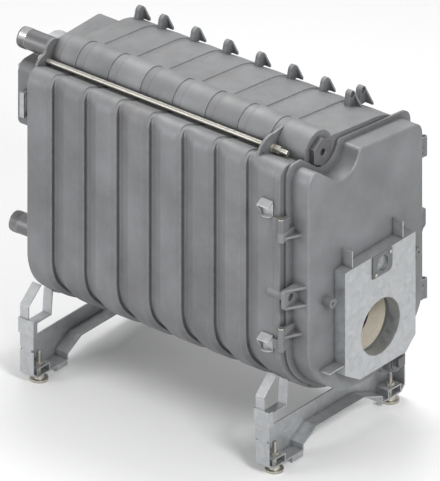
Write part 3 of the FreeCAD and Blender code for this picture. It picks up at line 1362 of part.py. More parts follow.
def rail(web_y):
    """Folded sheet rail: web, flange that follows the arch, and an upright post at each end."""
    front = web_y - RAIL_DEPTH
    sheet = RAIL_SHEET
    lower = arch_path(0)
    upper = arch_path(sheet)
    flange = prism_y(lower + upper[::-1], front, RAIL_DEPTH)
    top = RAIL_BASE + RAIL_WEB_HEIGHT
    web_outline = lower + [(POST_X, top), (-POST_X, top)]
    web = prism_y(web_outline, web_y - sheet, sheet)
    parts = [flange, web]
    cuts = []
    post_top = RAIL_BASE + POST_HEIGHT
    for side in (-1, 1):
        outer = side * POST_X
        inner = outer - side * sheet
        parts.append(block((min(outer, inner), front, RAIL_BASE + RAIL_END_RISE - 2),
                           (max(outer, inner), web_y, post_top)))
        for y in (front, web_y - NOTCH_DEPTH):
            cuts.append(block((min(outer, inner) - 1, y - 0.01, RAIL_BASE + NOTCH_LIFT),
                              (max(outer, inner) + 1, y + NOTCH_DEPTH + 0.01,
                               RAIL_BASE + NOTCH_LIFT + NOTCH_HEIGHT)))
        foot_x = side * FOOT_SPACING_X / 2
        foot_y = web_y - FOOT_TO_WEB
        half = FOOT_BLOCK_LENGTH / 2
        pad = block((foot_x - half, front, RAIL_BASE + sheet - 0.01),
                    (foot_x + half, web_y - sheet + 0.01, RAIL_BASE + sheet + FOOT_BLOCK_HEIGHT))
        void = block((foot_x - half + sheet, front - 1, RAIL_BASE + sheet),
                     (foot_x + half - sheet, web_y - 2 * sheet,
                      RAIL_BASE + FOOT_BLOCK_HEIGHT))
        parts.append(pad.cut(void))
        cuts.append(rod_z(foot_x, foot_y, STUD_RADIUS + FIT, 0, STUD_TOP))
    tongue_x = -ARCH_LEFT_FOOT - TONGUE_WIDTH / 2 - 2
    parts.append(block((tongue_x - TONGUE_WIDTH / 2, front, RAIL_BASE - TONGUE_DEPTH),
                       (tongue_x + TONGUE_WIDTH / 2, front + sheet, RAIL_BASE + 1)))
    return fuse_all(parts).cut(Part.makeCompound(cuts))


def strip(points, thickness, y, width):
    """Bent strap of even thickness along a path of (x, z) points, on the path's left side."""
    count = len(points)
    other = []
    for index in range(count):
        ax, az = points[max(index - 1, 0)]
        bx, bz = points[min(index + 1, count - 1)]
        here = points[index]
        before = math.atan2(here[1] - az, here[0] - ax) if index else None
        after = math.atan2(bz - here[1], bx - here[0]) if index < count - 1 else None
        if before is None:
            before = after
        if after is None:
            after = before
        turn = (after - before + math.pi) % (2 * math.pi) - math.pi
        middle = before + turn / 2
        reach = thickness / math.cos(turn / 2)
        other.append((here[0] - math.sin(middle) * reach, here[1] + math.cos(middle) * reach))
    return prism_y(points + other[::-1], y, width)


def seat_drop(near, far, inset):
    """How far a straight strap lies below the belly between two places."""
    middle = (near + far) / 2
    chord = (belly_height(near, inset) + belly_height(far, inset)) / 2
    return chord - belly_height(middle, inset) + SEAT


def cradle(side, web_y):
    """Bent strap from the rail post to two rests under the rounded belly."""
    thick = CRADLE_SHEET
    inset = 0 if web_y > 0 else FRONT_RIM_STEP
    floor = RAIL_BASE + POST_HEIGHT + thick
    bend = BASE_Z + CRADLE_BEND_RISE
    outer = POST_X - thick
    front = web_y - CRADLE_WIDTH
    slope = math.atan2(belly_height(CRADLE_TIP_X, inset) - thick - bend, outer - CRADLE_TIP_X)
    tip_z = belly_height(CRADLE_TIP_X, inset) - SEAT * 1.5 - thick / math.cos(slope)
    rest = [(CRADLE_TIP_X, tip_z), (outer, bend), (outer, floor)]
    if side > 0:
        hook = strip(rest + [(RIGHT_INNER_X - thick, floor)], thick, front, CRADLE_WIDTH)
        reach = tip_z - (RIGHT_INNER_X - CRADLE_TIP_X) * math.tan(slope) + thick / 2
        brace = strip([(RIGHT_INNER_X, floor - thick / 2), (RIGHT_INNER_X, reach)], thick, front,
                      CRADLE_WIDTH)
        return hook.fuse(brace).removeSplitter()
    fold_x = CRADLE_INNER_X - CRADLE_FOLD
    drop = seat_drop(fold_x, CRADLE_PAD_X, inset)
    rest += [(CRADLE_INNER_X, floor)]
    for x in (fold_x, CRADLE_PAD_X):
        rest.append((x, belly_height(x, inset) - drop))
    return strip([(-x, z) for x, z in rest], -thick, front, CRADLE_WIDTH)


def cap_clip(side, web_y):
    """Folded clip that wraps the top of a post and the cradle standing on it."""
    inner = POST_X
    outer = inner + CLIP_SHEET
    front = web_y - RAIL_DEPTH - CLIP_SHEET
    back = web_y + CLIP_SHEET
    low = RAIL_BASE + POST_HEIGHT - 15
    high = low + CLIP_HEIGHT
    face = block((inner, front, low), (outer, back, high))
    near = block((inner - CLIP_RETURN, front, low), (inner + 0.01, front + CLIP_SHEET, high))
    far = block((inner - CLIP_RETURN, back - CLIP_SHEET, low), (inner + 0.01, back, high))
    clip = fuse_all([face, near, far])
    if side < 0:
        clip = clip.mirror(vec(0, 0, 0), vec(1, 0, 0))
    return clip


def levelling_foot(x, y):
    disc = rod_z(x, y, FOOT_RADIUS, 0, FOOT_DISC)
    collar = Part.makeCone(FOOT_HUB_RADIUS + 3, FOOT_HUB_RADIUS, RAIL_BASE - FOOT_DISC,
                           vec(x, y, FOOT_DISC), vec(0, 0, 1))
    stud = rod_z(x, y, STUD_RADIUS, 1, STUD_TOP - 1)
    return fuse_all([disc, collar, stud])


def foot_nuts():
    nuts = []
    for x in (-FOOT_SPACING_X / 2, FOOT_SPACING_X / 2):
        for y in (-FOOT_SPACING_Y / 2, FOOT_SPACING_Y / 2):
            reach = FOOT_NUT_FLATS / math.sqrt(3)
            turns = [math.radians(60 * index) for index in range(6)]
            base = RAIL_BASE + RAIL_SHEET + FOOT_BLOCK_HEIGHT
            points = [vec(x + reach * math.cos(t), y + reach * math.sin(t), base) for t in turns]
            nut = polygon_face(points).extrude(vec(0, 0, FOOT_NUT_HEIGHT))
            nuts.append(nut.cut(rod_z(x, y, STUD_RADIUS, base - 1, FOOT_NUT_HEIGHT + 2)))
    return nuts


def port_screws():
    screws = []
    for x, z in port_screw_places():
        front = BOX_FRONT - PORT_SHEET - SEAT
        shank = rod_y(x, z, PORT_SCREW_RADIUS, front - 0.5, PORT_SHEET + 0.5)
        head = rod_y(x, z, PORT_SCREW_HEAD, front - 2.4, 2.4)
        screws.append(shank.fuse(head))
    return screws


def sight_glass():
    back = BOX_FRONT + BOX_SHEET
    return rod_y(port_x(), port_z(), PORT_HOLE_RADIUS + GLASS_RIM, back, GLASS_THICKNESS)


def group(solids):
    return Part.makeCompound(solids)


# Every piece, by the name of its file
PIECES = {
    "rear_section": rear_section,
    "front_section": front_section,
    "supply_stub": lambda: pipe_stub(UPPER_HUB_X, UPPER_HUB_Z, REAR_Y, SUPPLY_REACH),
    "return_stub": lambda: pipe_stub(RETURN_X, BASE_Z + RETURN_LIFT, REAR_Y + 8, RETURN_REACH),
    "upper_nipples": lambda: group(nipples(UPPER_HUB_X, UPPER_HUB_Z, UPPER_PORT_RADIUS)),
    "lower_nipples": lambda: group(nipples(LOWER_HUB_X, LOWER_HUB_Z, LOWER_PORT_RADIUS)),
    "hex_plug": hex_plug,
    "square_plug": square_plug,
    "upper_tie_rod": lambda: tie_rod(UPPER_ROD_X, UPPER_ROD_Z),
    "lower_tie_rod": lambda: tie_rod(LOWER_ROD_X, LOWER_ROD_Z),
    "tie_rod_nuts": lambda: group(rod_nuts()),
    "tie_rod_washers": lambda: group(rod_washers()),
    "upper_rear_ear": upper_rear_ear,
    "lower_rear_ear": lower_rear_ear,
    "rear_ear_screws": lambda: group(rear_ear_screws()),
    "flue_collector": flue_collector,
    "flue_spigot": flue_spigot,
    "collector_clip": collector_clip,
    "collector_gasket": collector_gasket,
    "collector_studs": lambda: group(collector_studs()),
    "collector_nuts": lambda: group(collector_nuts()),
    "upper_side_bracket": lambda: side_bracket(UPPER_BRACKET_LIFT),
    "lower_side_bracket": lambda: side_bracket(LOWER_BRACKET_LIFT),
    "door": door,
    "door_seal": door_seal,
    "door_insulation": door_insulation,
    "upper_hinge_pin": lambda: hinge_pin(BASE_Z + UPPER_HINGE_LIFT,
                                         DOOR_KNUCKLE + KNUCKLE_GAP + FIXED_KNUCKLE),
    "lower_hinge_pin": lambda: hinge_pin(BASE_Z + LOWER_HINGE_LIFT,
                                         LOWER_FIXED_KNUCKLE + KNUCKLE_GAP + LOWER_DOOR_KNUCKLE),
    "burner_box": burner_box,
    "burner_sleeve": burner_sleeve,
    "sight_port": sight_port,
    "sight_glass": sight_glass,
    "sight_port_screws": lambda: group(port_screws()),
    "front_rail": lambda: rail(FRONT_RAIL_Y),
    "rear_rail": lambda: rail(REAR_RAIL_Y),
    "foot_nuts": lambda: group(foot_nuts()),
}

os.makedirs("parts", exist_ok=True)

for index in range(MIDDLE_COUNT):
    middle_section(JOINTS[index]).exportStep("parts/middle_section_%d.step" % (index + 1))

for end, web_y in (("front", FRONT_RAIL_Y), ("rear", REAR_RAIL_Y)):
    for name, side in (("left", -1), ("right", 1)):
        cradle(side, web_y).exportStep("parts/%s_%s_cradle.step" % (end, name))
        cap_clip(side, web_y).exportStep("parts/%s_%s_cap_clip.step" % (end, name))
        foot = levelling_foot(side * FOOT_SPACING_X / 2, web_y - FOOT_TO_WEB)
        foot.exportStep("parts/%s_%s_foot.step" % (end, name))

for name, build in PIECES.items():
    build().exportStep("parts/%s.step" % name)
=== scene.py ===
import json
import math
from collections import namedtuple
import bpy
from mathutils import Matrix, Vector


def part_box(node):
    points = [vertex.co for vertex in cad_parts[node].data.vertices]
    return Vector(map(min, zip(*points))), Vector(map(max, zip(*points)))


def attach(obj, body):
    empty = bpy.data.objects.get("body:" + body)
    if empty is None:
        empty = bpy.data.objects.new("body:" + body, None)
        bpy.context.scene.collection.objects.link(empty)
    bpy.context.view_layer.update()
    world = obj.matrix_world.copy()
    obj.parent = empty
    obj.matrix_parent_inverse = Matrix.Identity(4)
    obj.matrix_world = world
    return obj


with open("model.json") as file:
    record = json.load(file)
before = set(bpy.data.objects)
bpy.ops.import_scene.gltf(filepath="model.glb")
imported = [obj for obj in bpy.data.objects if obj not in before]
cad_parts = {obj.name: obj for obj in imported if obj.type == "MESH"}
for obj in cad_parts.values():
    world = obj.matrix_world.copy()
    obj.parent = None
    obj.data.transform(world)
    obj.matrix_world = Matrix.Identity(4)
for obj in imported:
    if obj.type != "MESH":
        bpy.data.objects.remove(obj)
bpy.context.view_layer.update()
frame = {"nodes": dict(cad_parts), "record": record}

NODES = frame["nodes"]

# Camera: the drawing is an orthographic view from the door's left and a little above
VIEW_AZIMUTH = math.radians(-51.3)
VIEW_ELEVATION = math.radians(28.8)
VIEW_CENTRE = Vector((0.0, -0.0156, 0.3804))
VIEW_HEIGHT = 1.0582
VIEW_DISTANCE = 4.0
VIEW_CLIP_END = 20.0

# Lamps: name, place and size in metres, power in watts
LAMPS = (
    ("key", (-1.4, -2.9, 2.6), 1.1, 84.0),
    ("side", (-3.0, 1.6, 1.6), 1.6, 44.0),
    ("top", (0.9, 0.6, 3.2), 1.4, 50.0),
)
LAMP_AIM = (0.0, 0.0, 0.4)

# Brightness of the room: as it lights the block, and as the camera, gloss and glass see it
ROOM_LIGHT = 0.55
ROOM_SEEN = 0.95
ROOM_WHITE = (1.0, 1.0, 1.0, 1.0)

# Floor
FLOOR_REACH = 12.0
FLOOR_PALE = (0.86, 0.86, 0.86, 1.0)
FLOOR_ROUGHNESS = 0.9

# Threads, in metres, with the number of steps in one turn
PIPE_THREAD_LENGTH = 0.0245
PIPE_THREAD_PITCH = 0.0023
PIPE_THREAD_DEPTH = 0.0011
PIPE_THREAD_INSET = 0.0003
PIPE_THREAD_STEPS = 40
ROD_THREAD_PITCH = 0.003
ROD_THREAD_DEPTH = 0.0009
ROD_THREAD_INSET = 0.0002
ROD_THREAD_STEPS = 12
STUD_THREAD_PITCH = 0.0015
STUD_THREAD_DEPTH = 0.0005
STUD_THREAD_START = 0.047
STUD_RADIUS = 0.005
ALONG_BLOCK = Vector((0, 1, 0))
UPRIGHT = Vector((0, 0, 1))

# Ridge of a thread: how far its foot sinks into the bar, and its half width as a share of the pitch
RIDGE_SINK = 0.0002
RIDGE_HALF_WIDTH = 0.46

# Reach of the flue gas inside the castings, in metres
GAS_SIDE_HALF_WIDTH = 0.134
GAS_SIDE_LOW = 0.193
GAS_SIDE_HIGH = 0.7
GAS_SIDE_FRONT = -0.372
GAS_SIDE_REAR = 0.335
SOOT_EDGE = 0.003

# Finishes, as linear colours
IRON = (0.205, 0.213, 0.222, 1.0)
IRON_SHADE = (0.135, 0.139, 0.145, 1.0)
IRON_PIT = (0.09, 0.092, 0.095, 1.0)
IRON_WORN = (0.4, 0.405, 0.41, 1.0)
IRON_DUST = (0.36, 0.355, 0.34, 1.0)
RUST = (0.2, 0.098, 0.05, 1.0)
# Near-black colour painted into grooves and corners as shade
GROOVE_SHADE_COLOUR = (0.05, 0.047, 0.044, 1.0)
SOOT = (0.035, 0.033, 0.032, 1.0)
ZINC = (0.46, 0.472, 0.482, 1.0)
ZINC_DARK = (0.38, 0.392, 0.405, 1.0)
ZINC_WORN = (0.58, 0.59, 0.6, 1.0)
ZINC_DUST = (0.55, 0.54, 0.51, 1.0)
PLATED = (0.6, 0.585, 0.52, 1.0)
PLATED_DARK = (0.36, 0.34, 0.29, 1.0)
PIPE = (0.2, 0.2, 0.205, 1.0)
PIPE_DARK = (0.11, 0.11, 0.115, 1.0)
BRIGHT = (0.62, 0.62, 0.61, 1.0)
PIPE_THREAD_ROOT = (0.3, 0.3, 0.3, 1.0)
ROD_THREAD_ROOT = (0.12, 0.12, 0.122, 1.0)
ROD_THREAD_CREST = (0.4, 0.4, 0.395, 1.0)
FIBRE = (0.74, 0.69, 0.58, 1.0)
FIBRE_DARK = (0.5, 0.45, 0.36, 1.0)
GLASS = (0.86, 0.9, 0.9, 1.0)

# Metalness and roughness of the finishes. A pair of roughnesses is the range that one varies over
IRON_METALNESS = 0.3
IRON_ROUGHNESS = (0.62, 0.5)
IRON_EDGE_POLISH = 0.14
ZINC_METALNESS = 0.75
ZINC_ROUGHNESS = (0.34, 0.56)
PLATED_METALNESS = 0.9
PLATED_ROUGHNESS = (0.28, 0.46)
PIPE_METALNESS = 0.8
PIPE_ROUGHNESS = (0.36, 0.55)
THREAD_METALNESS = 0.9
THREAD_ROUGHNESS = (0.26, 0.42)
FIBRE_ROUGHNESS = 0.92
GLASS_ROUGHNESS = 0.06
GLASS_IOR = 1.5
GLASS_CLEARNESS = 0.85

# Sand-cast skin: how noise is cut into pits and tones, and how much each adds
PIT_SPACING = 0.55
PIT_CUT = (0.12, 0.3)
PIT_DEPTH = 0.25
PIT_SHADE = 0.5
GRAIN_HEIGHT = 0.7
SWELL_HEIGHT = 0.6
BROAD_TONE = 0.6
BROAD_TONE_SCALE = 7.0
FINE_TONE = 0.4
MOTTLE_CUT = (0.36, 0.64)

# Worn edges: likeness of the rounded and true normals where wear begins and is full, and its gaps
EDGE_LIKENESS = (0.995, 0.8)
EDGE_GAPS = (0.38, 0.62)
EDGE_SHINE = 0.8

# Rust patches and the specks that they are made of
RUST_PATCH_CUT = (0.52, 0.74)
RUST_SPECK_SCALE = 620.0
RUST_SPECK_CUT = (0.45, 0.65)

# Dust, painted groove shade and soot: scale of the noise that thins them, where it cuts, and what it
# leaves
DUST_SLOPE = (0.45, 1.0)
DUST_SCALE = 30.0
DUST_CUT = (0.3, 0.7)
DUST_LEAST = 0.35
GROOVE_SHADE_SHELTER = (0.3, 0.9)
GROOVE_SHADE_SCALE = 55.0
GROOVE_SHADE_CUT = (0.3, 0.6)
GROOVE_SHADE_LEAST = 0.6
SOOT_SCALE = 22.0
SOOT_CUT = (0.3, 0.65)
SOOT_LEAST = 0.55

# Zinc flakes and turning marks
FLAKE_WARP = 0.015
FLAKE_WARP_SCALE = 60.0
FLAKE_TONE = 0.75
ZINC_GRAIN_TONE = 0.25
ZINC_GRAIN_SCALE = 420.0
TURNED_STRETCH = (0.06, 1.0, 0.06)
TURNED_CUT = (0.2, 0.8)

# One tone for each cast section from rear to front, and a shift of the skin from one to the next
SECTION_TONES = (1.0, 0.93, 1.05, 0.97, 1.03, 0.92, 1.0, 0.96)
SECTION_SHIFT = 0.61


# Helpers for shader trees

def feed(tree, socket, value):
    """Links an output to an input socket, or sets the input to a plain value."""
    if isinstance(value, bpy.types.NodeSocket):
        tree.links.new(value, socket)
    else:
        socket.default_value = value


def feed_all(tree, node, inputs):
    for name, value in inputs.items():
        feed(tree, node.inputs[name], value)


def put(tree, kind, inputs=None, **settings):
    """Adds a node, gives it its settings, and feeds its inputs."""
    node = tree.nodes.new(kind)
    for name, value in settings.items():
        setattr(node, name, value)
    feed_all(tree, node, inputs or {})
    return node


def span(tree, value, low, high, to_low=0.0, to_high=1.0):
    """Value rescaled from one range to another, and held inside it."""
    return put(tree, "ShaderNodeMapRange", {
        "Value": value, "From Min": low, "From Max": high, "To Min": to_low, "To Max": to_high,
    }).outputs["Result"]


def maths(tree, operation, first, second=0.0):
    return put(tree, "ShaderNodeMath", {0: first, 1: second}, operation=operation).outputs[0]


def times(tree, first, second):
    return maths(tree, "MULTIPLY", first, second)


def blend_colour(tree, factor, first, second):
    """Colour between two others. The Mix node's colour sockets are 6 and 7 in, and 2 out."""
    return put(tree, "ShaderNodeMix", {0: factor, 6: first, 7: second}, data_type="RGBA").outputs[2]


def place_on_piece(tree):
    return put(tree, "ShaderNodeTexCoord").outputs["Object"]


def noise(tree, place, scale, detail, roughness=0.5):
    return put(tree, "ShaderNodeTexNoise", {
        "Vector": place, "Scale": scale, "Detail": detail, "Roughness": roughness,
    }).outputs


def thinned(tree, mask, noise_value, cut, least):
    """Mask that noise thins down to its least share."""
    return times(tree, mask, span(tree, noise_value, *cut, least, 1.0))


# Shader groups that several finishes share

def group_with(name, inputs, outputs):
    """Node group with its named sockets: its tree, the values given to it, and its end node."""
    tree = bpy.data.node_groups.new(name, "ShaderNodeTree")
    for label, kind, value in inputs:
        socket = tree.interface.new_socket(name=label, in_out="INPUT", socket_type=kind)
        socket.default_value = value
    for label, kind in outputs:
        tree.interface.new_socket(name=label, in_out="OUTPUT", socket_type=kind)
    return tree, tree.nodes.new("NodeGroupInput").outputs, tree.nodes.new("NodeGroupOutput")


def build_sand_grain():
    """Sand-cast skin: pits, low swells and a mottled tone, shifted from casting to casting."""
    tree, given, end = group_with("sand_grain", [
        ("Grain", "NodeSocketFloat", 900.0),
        ("Swell", "NodeSocketFloat", 45.0),
        ("Shift", "NodeSocketFloat", 0.0),
    ], [("Height", "NodeSocketFloat"), ("Mottle", "NodeSocketFloat"), ("Pits", "NodeSocketFloat")])
    place = put(tree, "ShaderNodeVectorMath", {0: place_on_piece(tree), 1: given["Shift"]},
                operation="ADD").outputs["Vector"]
    fine = noise(tree, place, given["Grain"], detail=4.0, roughness=0.65)["Fac"]
    swell = noise(tree, place, given["Swell"], detail=3.0)["Fac"]
    broad = noise(tree, place, BROAD_TONE_SCALE, detail=5.0, roughness=0.6)["Fac"]
    cells = put(tree, "ShaderNodeTexVoronoi", {
        "Vector": place, "Scale": times(tree, given["Grain"], PIT_SPACING),
    })
    pits = span(tree, cells.outputs["Distance"], *PIT_CUT, 1.0, 0.0)
    height = maths(tree, "ADD", times(tree, fine, GRAIN_HEIGHT), times(tree, swell, SWELL_HEIGHT))
    height = maths(tree, "SUBTRACT", height, times(tree, pits, PIT_DEPTH))
    tone = maths(tree, "ADD", times(tree, broad, BROAD_TONE), times(tree, fine, FINE_TONE))
    feed_all(tree, end, {"Height": height, "Mottle": span(tree, tone, *MOTTLE_CUT), "Pits": pits})
    return tree


def build_worn_edge():
    """Mask along sharp edges, broken up by noise, and a normal that rounds them."""
    tree, given, end = group_with("worn_edge", [
        ("Radius", "NodeSocketFloat", 0.002),
        ("Break Up", "NodeSocketFloat", 120.0),
    ], [("Edge", "NodeSocketFloat"), ("Normal", "NodeSocketVector")])
    true_normal = put(tree, "ShaderNodeNewGeometry").outputs["Normal"]
    rounded = put(tree, "ShaderNodeBevel", {"Radius": given["Radius"]}, samples=4).outputs["Normal"]
    likeness = put(tree, "ShaderNodeVectorMath", {0: true_normal, 1: rounded}, operation="DOT_PRODUCT")
    gaps = noise(tree, place_on_piece(tree), given["Break Up"], detail=5.0, roughness=0.7)["Fac"]
    edge = span(tree, likeness.outputs["Value"], *EDGE_LIKENESS)
    edge = times(tree, edge, span(tree, gaps, *EDGE_GAPS))
    feed_all(tree, end, {"Edge": edge, "Normal": rounded})
    return tree


def build_rust_bloom():
    """Scattered patches where bare iron has begun to rust."""
    tree, given, end = group_with("rust_bloom", [
        ("Patch Size", "NodeSocketFloat", 14.0),
        ("Amount", "NodeSocketFloat", 0.5),
    ], [("Rust", "NodeSocketFloat")])
    place = place_on_piece(tree)
    patch = noise(tree, place, given["Patch Size"], detail=8.0, roughness=0.72)["Fac"]
    speck = noise(tree, place, RUST_SPECK_SCALE, detail=2.0, roughness=0.6)["Fac"]
    rust = times(tree, span(tree, patch, *RUST_PATCH_CUT), span(tree, speck, *RUST_SPECK_CUT))
    feed_all(tree, end, {"Rust": times(tree, rust, given["Amount"])})
    return tree


def build_settled_dust():
    """Pale dust on faces that look up."""
    tree, given, end = group_with("settled_dust", [("Amount", "NodeSocketFloat", 0.3)],
                                  [("Dust", "NodeSocketFloat")])
    grain = noise(tree, place_on_piece(tree), DUST_SCALE, detail=6.0)["Fac"]
    normal = put(tree, "ShaderNodeNewGeometry").outputs["Normal"]
    upward = put(tree, "ShaderNodeSeparateXYZ", {"Vector": normal}).outputs["Z"]
    dust = thinned(tree, span(tree, upward, *DUST_SLOPE), grain, DUST_CUT, DUST_LEAST)
    feed_all(tree, end, {"Dust": times(tree, dust, given["Amount"])})
    return tree


def build_groove_grime():
    """Painted shade: darkens the grooves and corners that ambient occlusion finds sheltered, thinned by
    noise.
    """
    tree, given, end = group_with("groove_grime", [
        ("Reach", "NodeSocketFloat", 0.02),
        ("Amount", "NodeSocketFloat", 0.5),
    ], [("Groove Shade", "NodeSocketFloat")])
    grain = noise(tree, place_on_piece(tree), GROOVE_SHADE_SCALE, detail=5.0, roughness=0.65)["Fac"]
    open_air = put(tree, "ShaderNodeAmbientOcclusion", {"Distance": given["Reach"]}, samples=6)
    sheltered = span(tree, open_air.outputs["AO"], *GROOVE_SHADE_SHELTER, 1.0, 0.0)
    grime = thinned(tree, sheltered, grain, GROOVE_SHADE_CUT, GROOVE_SHADE_LEAST)
    feed_all(tree, end, {"Groove Shade": times(tree, grime, given["Amount"])})
    return tree


def build_gas_side_soot():
    """Soot on the castings' inner faces: the fire chamber, the gas ways and their turning spaces."""
    tree, given, end = group_with("gas_side_soot", [("Amount", "NodeSocketFloat", 0.8)],
                                  [("Soot", "NodeSocketFloat")])
    place = place_on_piece(tree)
    axes = put(tree, "ShaderNodeSeparateXYZ", {"Vector": place}).outputs
    aside = maths(tree, "ABSOLUTE", axes["X"])
    soot = span(tree, aside, GAS_SIDE_HALF_WIDTH, GAS_SIDE_HALF_WIDTH + SOOT_EDGE, 1.0, 0.0)
    for coordinate, low, high in (
        (axes["Y"], GAS_SIDE_FRONT, GAS_SIDE_REAR),
        (axes["Z"], GAS_SIDE_LOW, GAS_SIDE_HIGH),
    ):
        soot = times(tree, soot, span(tree, coordinate, low - SOOT_EDGE, low))
        soot = times(tree, soot, span(tree, coordinate, high, high + SOOT_EDGE, 1.0, 0.0))
    grain = noise(tree, place, SOOT_SCALE, detail=6.0)["Fac"]
    soot = thinned(tree, soot, grain, SOOT_CUT, SOOT_LEAST)
    feed_all(tree, end, {"Soot": times(tree, soot, given["Amount"])})
    return tree


def build_zinc_spangle():
    """Crystal flakes of hot-dip zinc."""
    tree, given, end = group_with("zinc_spangle", [("Flakes", "NodeSocketFloat", 95.0)],
                                  [("Tone", "NodeSocketFloat"), ("Sheen", "NodeSocketFloat")])
    place = place_on_piece(tree)
    warp = noise(tree, place, FLAKE_WARP_SCALE, detail=3.0)["Color"]
    cells = put(tree, "ShaderNodeTexVoronoi", {
        "Vector": blend_colour(tree, FLAKE_WARP, place, warp), "Scale": given["Flakes"],
    })
    flake = put(tree, "ShaderNodeSeparateColor", {"Color": cells.outputs["Color"]}).outputs
    grain = noise(tree, place, ZINC_GRAIN_SCALE, detail=3.0)["Fac"]
    tone = maths(tree, "ADD", times(tree, flake["Red"], FLAKE_TONE),
                 times(tree, grain, ZINC_GRAIN_TONE))
    feed_all(tree, end, {"Tone": tone, "Sheen": flake["Green"]})
    return tree


def build_tool_marks():
    """Fine turning marks round an axis along Y."""
    tree, given, end = group_with("tool_marks", [("Spacing", "NodeSocketFloat", 1400.0)],
                                  [("Height", "NodeSocketFloat")])
    stretched = put(tree, "ShaderNodeVectorMath", {0: place_on_piece(tree), 1: TURNED_STRETCH},
                    operation="MULTIPLY").outputs["Vector"]
    feed_all(tree, end, {"Height": noise(tree, stretched, given["Spacing"], detail=2.0)["Fac"]})
    return tree


SAND_GRAIN = build_sand_grain()
WORN_EDGE = build_worn_edge()
RUST_BLOOM = build_rust_bloom()
SETTLED_DUST = build_settled_dust()
GROOVE_SHADE = build_groove_grime()
GAS_SIDE_SOOT = build_gas_side_soot()
ZINC_SPANGLE = build_zinc_spangle()
TOOL_MARKS = build_tool_marks()


# Finishes

def place_group(tree, group, **values):
    """Adds a shared group with this finish's own values, and returns its outputs."""
    node = tree.nodes.new("ShaderNodeGroup")
    node.node_tree = group
    for name, value in values.items():
        node.inputs[name.replace("_", " ")].default_value = value
    return node.outputs


def new_finish(name):
    """Empty material with its Principled shader."""
    material = bpy.data.materials.new(name)
    material.use_nodes = True
    tree = material.node_tree
    return material, tree, tree.nodes["Principled BSDF"]


def bumped(tree, height, distance, strength, over=None):
    """Normal of a surface with small bumps, laid over another normal where one is given."""
    bump = put(tree, "ShaderNodeBump", {
        "Height": height, "Distance": distance, "Strength": strength,
    })
    if over is not None:
        feed(tree, bump.inputs["Normal"], over)
    return bump.outputs["Normal"]


def toned(colour, tone):
    return tuple(channel * tone for channel in colour[:3]) + (1.0,)


def raw_iron(name, shift=0.0, tone=1.0, rust_amount=0.4):
    """Sand-cast grey iron: rubbed edges, some rust and dust, painted shade in grooves and corners, and
    soot inside.
    """
    material, tree, shader = new_finish(name)
    skin = place_group(tree, SAND_GRAIN, Grain=900.0, Swell=60.0, Shift=shift)
    edge = place_group(tree, WORN_EDGE, Radius=0.0022, Break_Up=90.0)
    rust = place_group(tree, RUST_BLOOM, Patch_Size=11.0, Amount=rust_amount)
    dust = place_group(tree, SETTLED_DUST, Amount=0.25)
    grime = place_group(tree, GROOVE_SHADE, Reach=0.016, Amount=0.75)
    soot = place_group(tree, GAS_SIDE_SOOT, Amount=0.8)
    colour = blend_colour(tree, skin["Mottle"], toned(IRON_SHADE, tone), toned(IRON, tone))
    colour = blend_colour(tree, times(tree, skin["Pits"], PIT_SHADE), colour, IRON_PIT)
    colour = blend_colour(tree, rust["Rust"], colour, RUST)
    colour = blend_colour(tree, times(tree, edge["Edge"], EDGE_SHINE), colour, IRON_WORN)
    colour = blend_colour(tree, dust["Dust"], colour, IRON_DUST)
    # Painted shade: grooves and corners that ambient occlusion finds sheltered are darkened towards
    # near black
    colour = blend_colour(tree, grime["Groove Shade"], colour, GROOVE_SHADE_COLOUR)
    colour = blend_colour(tree, soot["Soot"], colour, SOOT)
    rough = span(tree, skin["Mottle"], 0.0, 1.0, *IRON_ROUGHNESS)
    rough = maths(tree, "SUBTRACT", rough, times(tree, edge["Edge"], IRON_EDGE_POLISH))
    feed_all(tree, shader, {
        "Base Color": colour,
        "Roughness": rough,
        "Metallic": IRON_METALNESS,
        "Normal": bumped(tree, skin["Height"], distance=0.0005, strength=0.5, over=edge["Normal"]),
    })
    return material


def galvanised():
    """Folded zinc-coated sheet."""
    material, tree, shader = new_finish("galvanised_sheet")
    flakes = place_group(tree, ZINC_SPANGLE, Flakes=85.0)
    edge = place_group(tree, WORN_EDGE, Radius=0.0012, Break_Up=160.0)
    dust = place_group(tree, SETTLED_DUST, Amount=0.18)
    grime = place_group(tree, GROOVE_SHADE, Reach=0.01, Amount=0.6)
    colour = blend_colour(tree, flakes["Tone"], ZINC_DARK, ZINC)
    colour = blend_colour(tree, edge["Edge"], colour, ZINC_WORN)
    colour = blend_colour(tree, dust["Dust"], colour, ZINC_DUST)
    # Painted shade: grooves and corners that ambient occlusion finds sheltered are darkened towards
    # near black
    colour = blend_colour(tree, grime["Groove Shade"], colour, GROOVE_SHADE_COLOUR)
    feed_all(tree, shader, {
        "Base Color": colour,
        "Roughness": span(tree, flakes["Sheen"], 0.0, 1.0, *ZINC_ROUGHNESS),
        "Metallic": ZINC_METALNESS,
        "Normal": bumped(tree, flakes["Tone"], distance=0.0002, strength=0.3, over=edge["Normal"]),
    })
    return material


def plated_steel():
    """Small fasteners, zinc plated with a warm cast."""
    material, tree, shader = new_finish("zinc_plated")
    marks = place_group(tree, TOOL_MARKS, Spacing=1100.0)
    edge = place_group(tree, WORN_EDGE, Radius=0.0008, Break_Up=300.0)
    colour = blend_colour(tree, marks["Height"], PLATED_DARK, PLATED)
    colour = blend_colour(tree, edge["Edge"], colour, BRIGHT)
    feed_all(tree, shader, {
        "Base Color": colour,
        "Roughness": span(tree, marks["Height"], *TURNED_CUT, *PLATED_ROUGHNESS),
        "Metallic": PLATED_METALNESS,
        "Normal": bumped(tree, marks["Height"], distance=0.0001, strength=0.3, over=edge["Normal"]),
    })
    return material


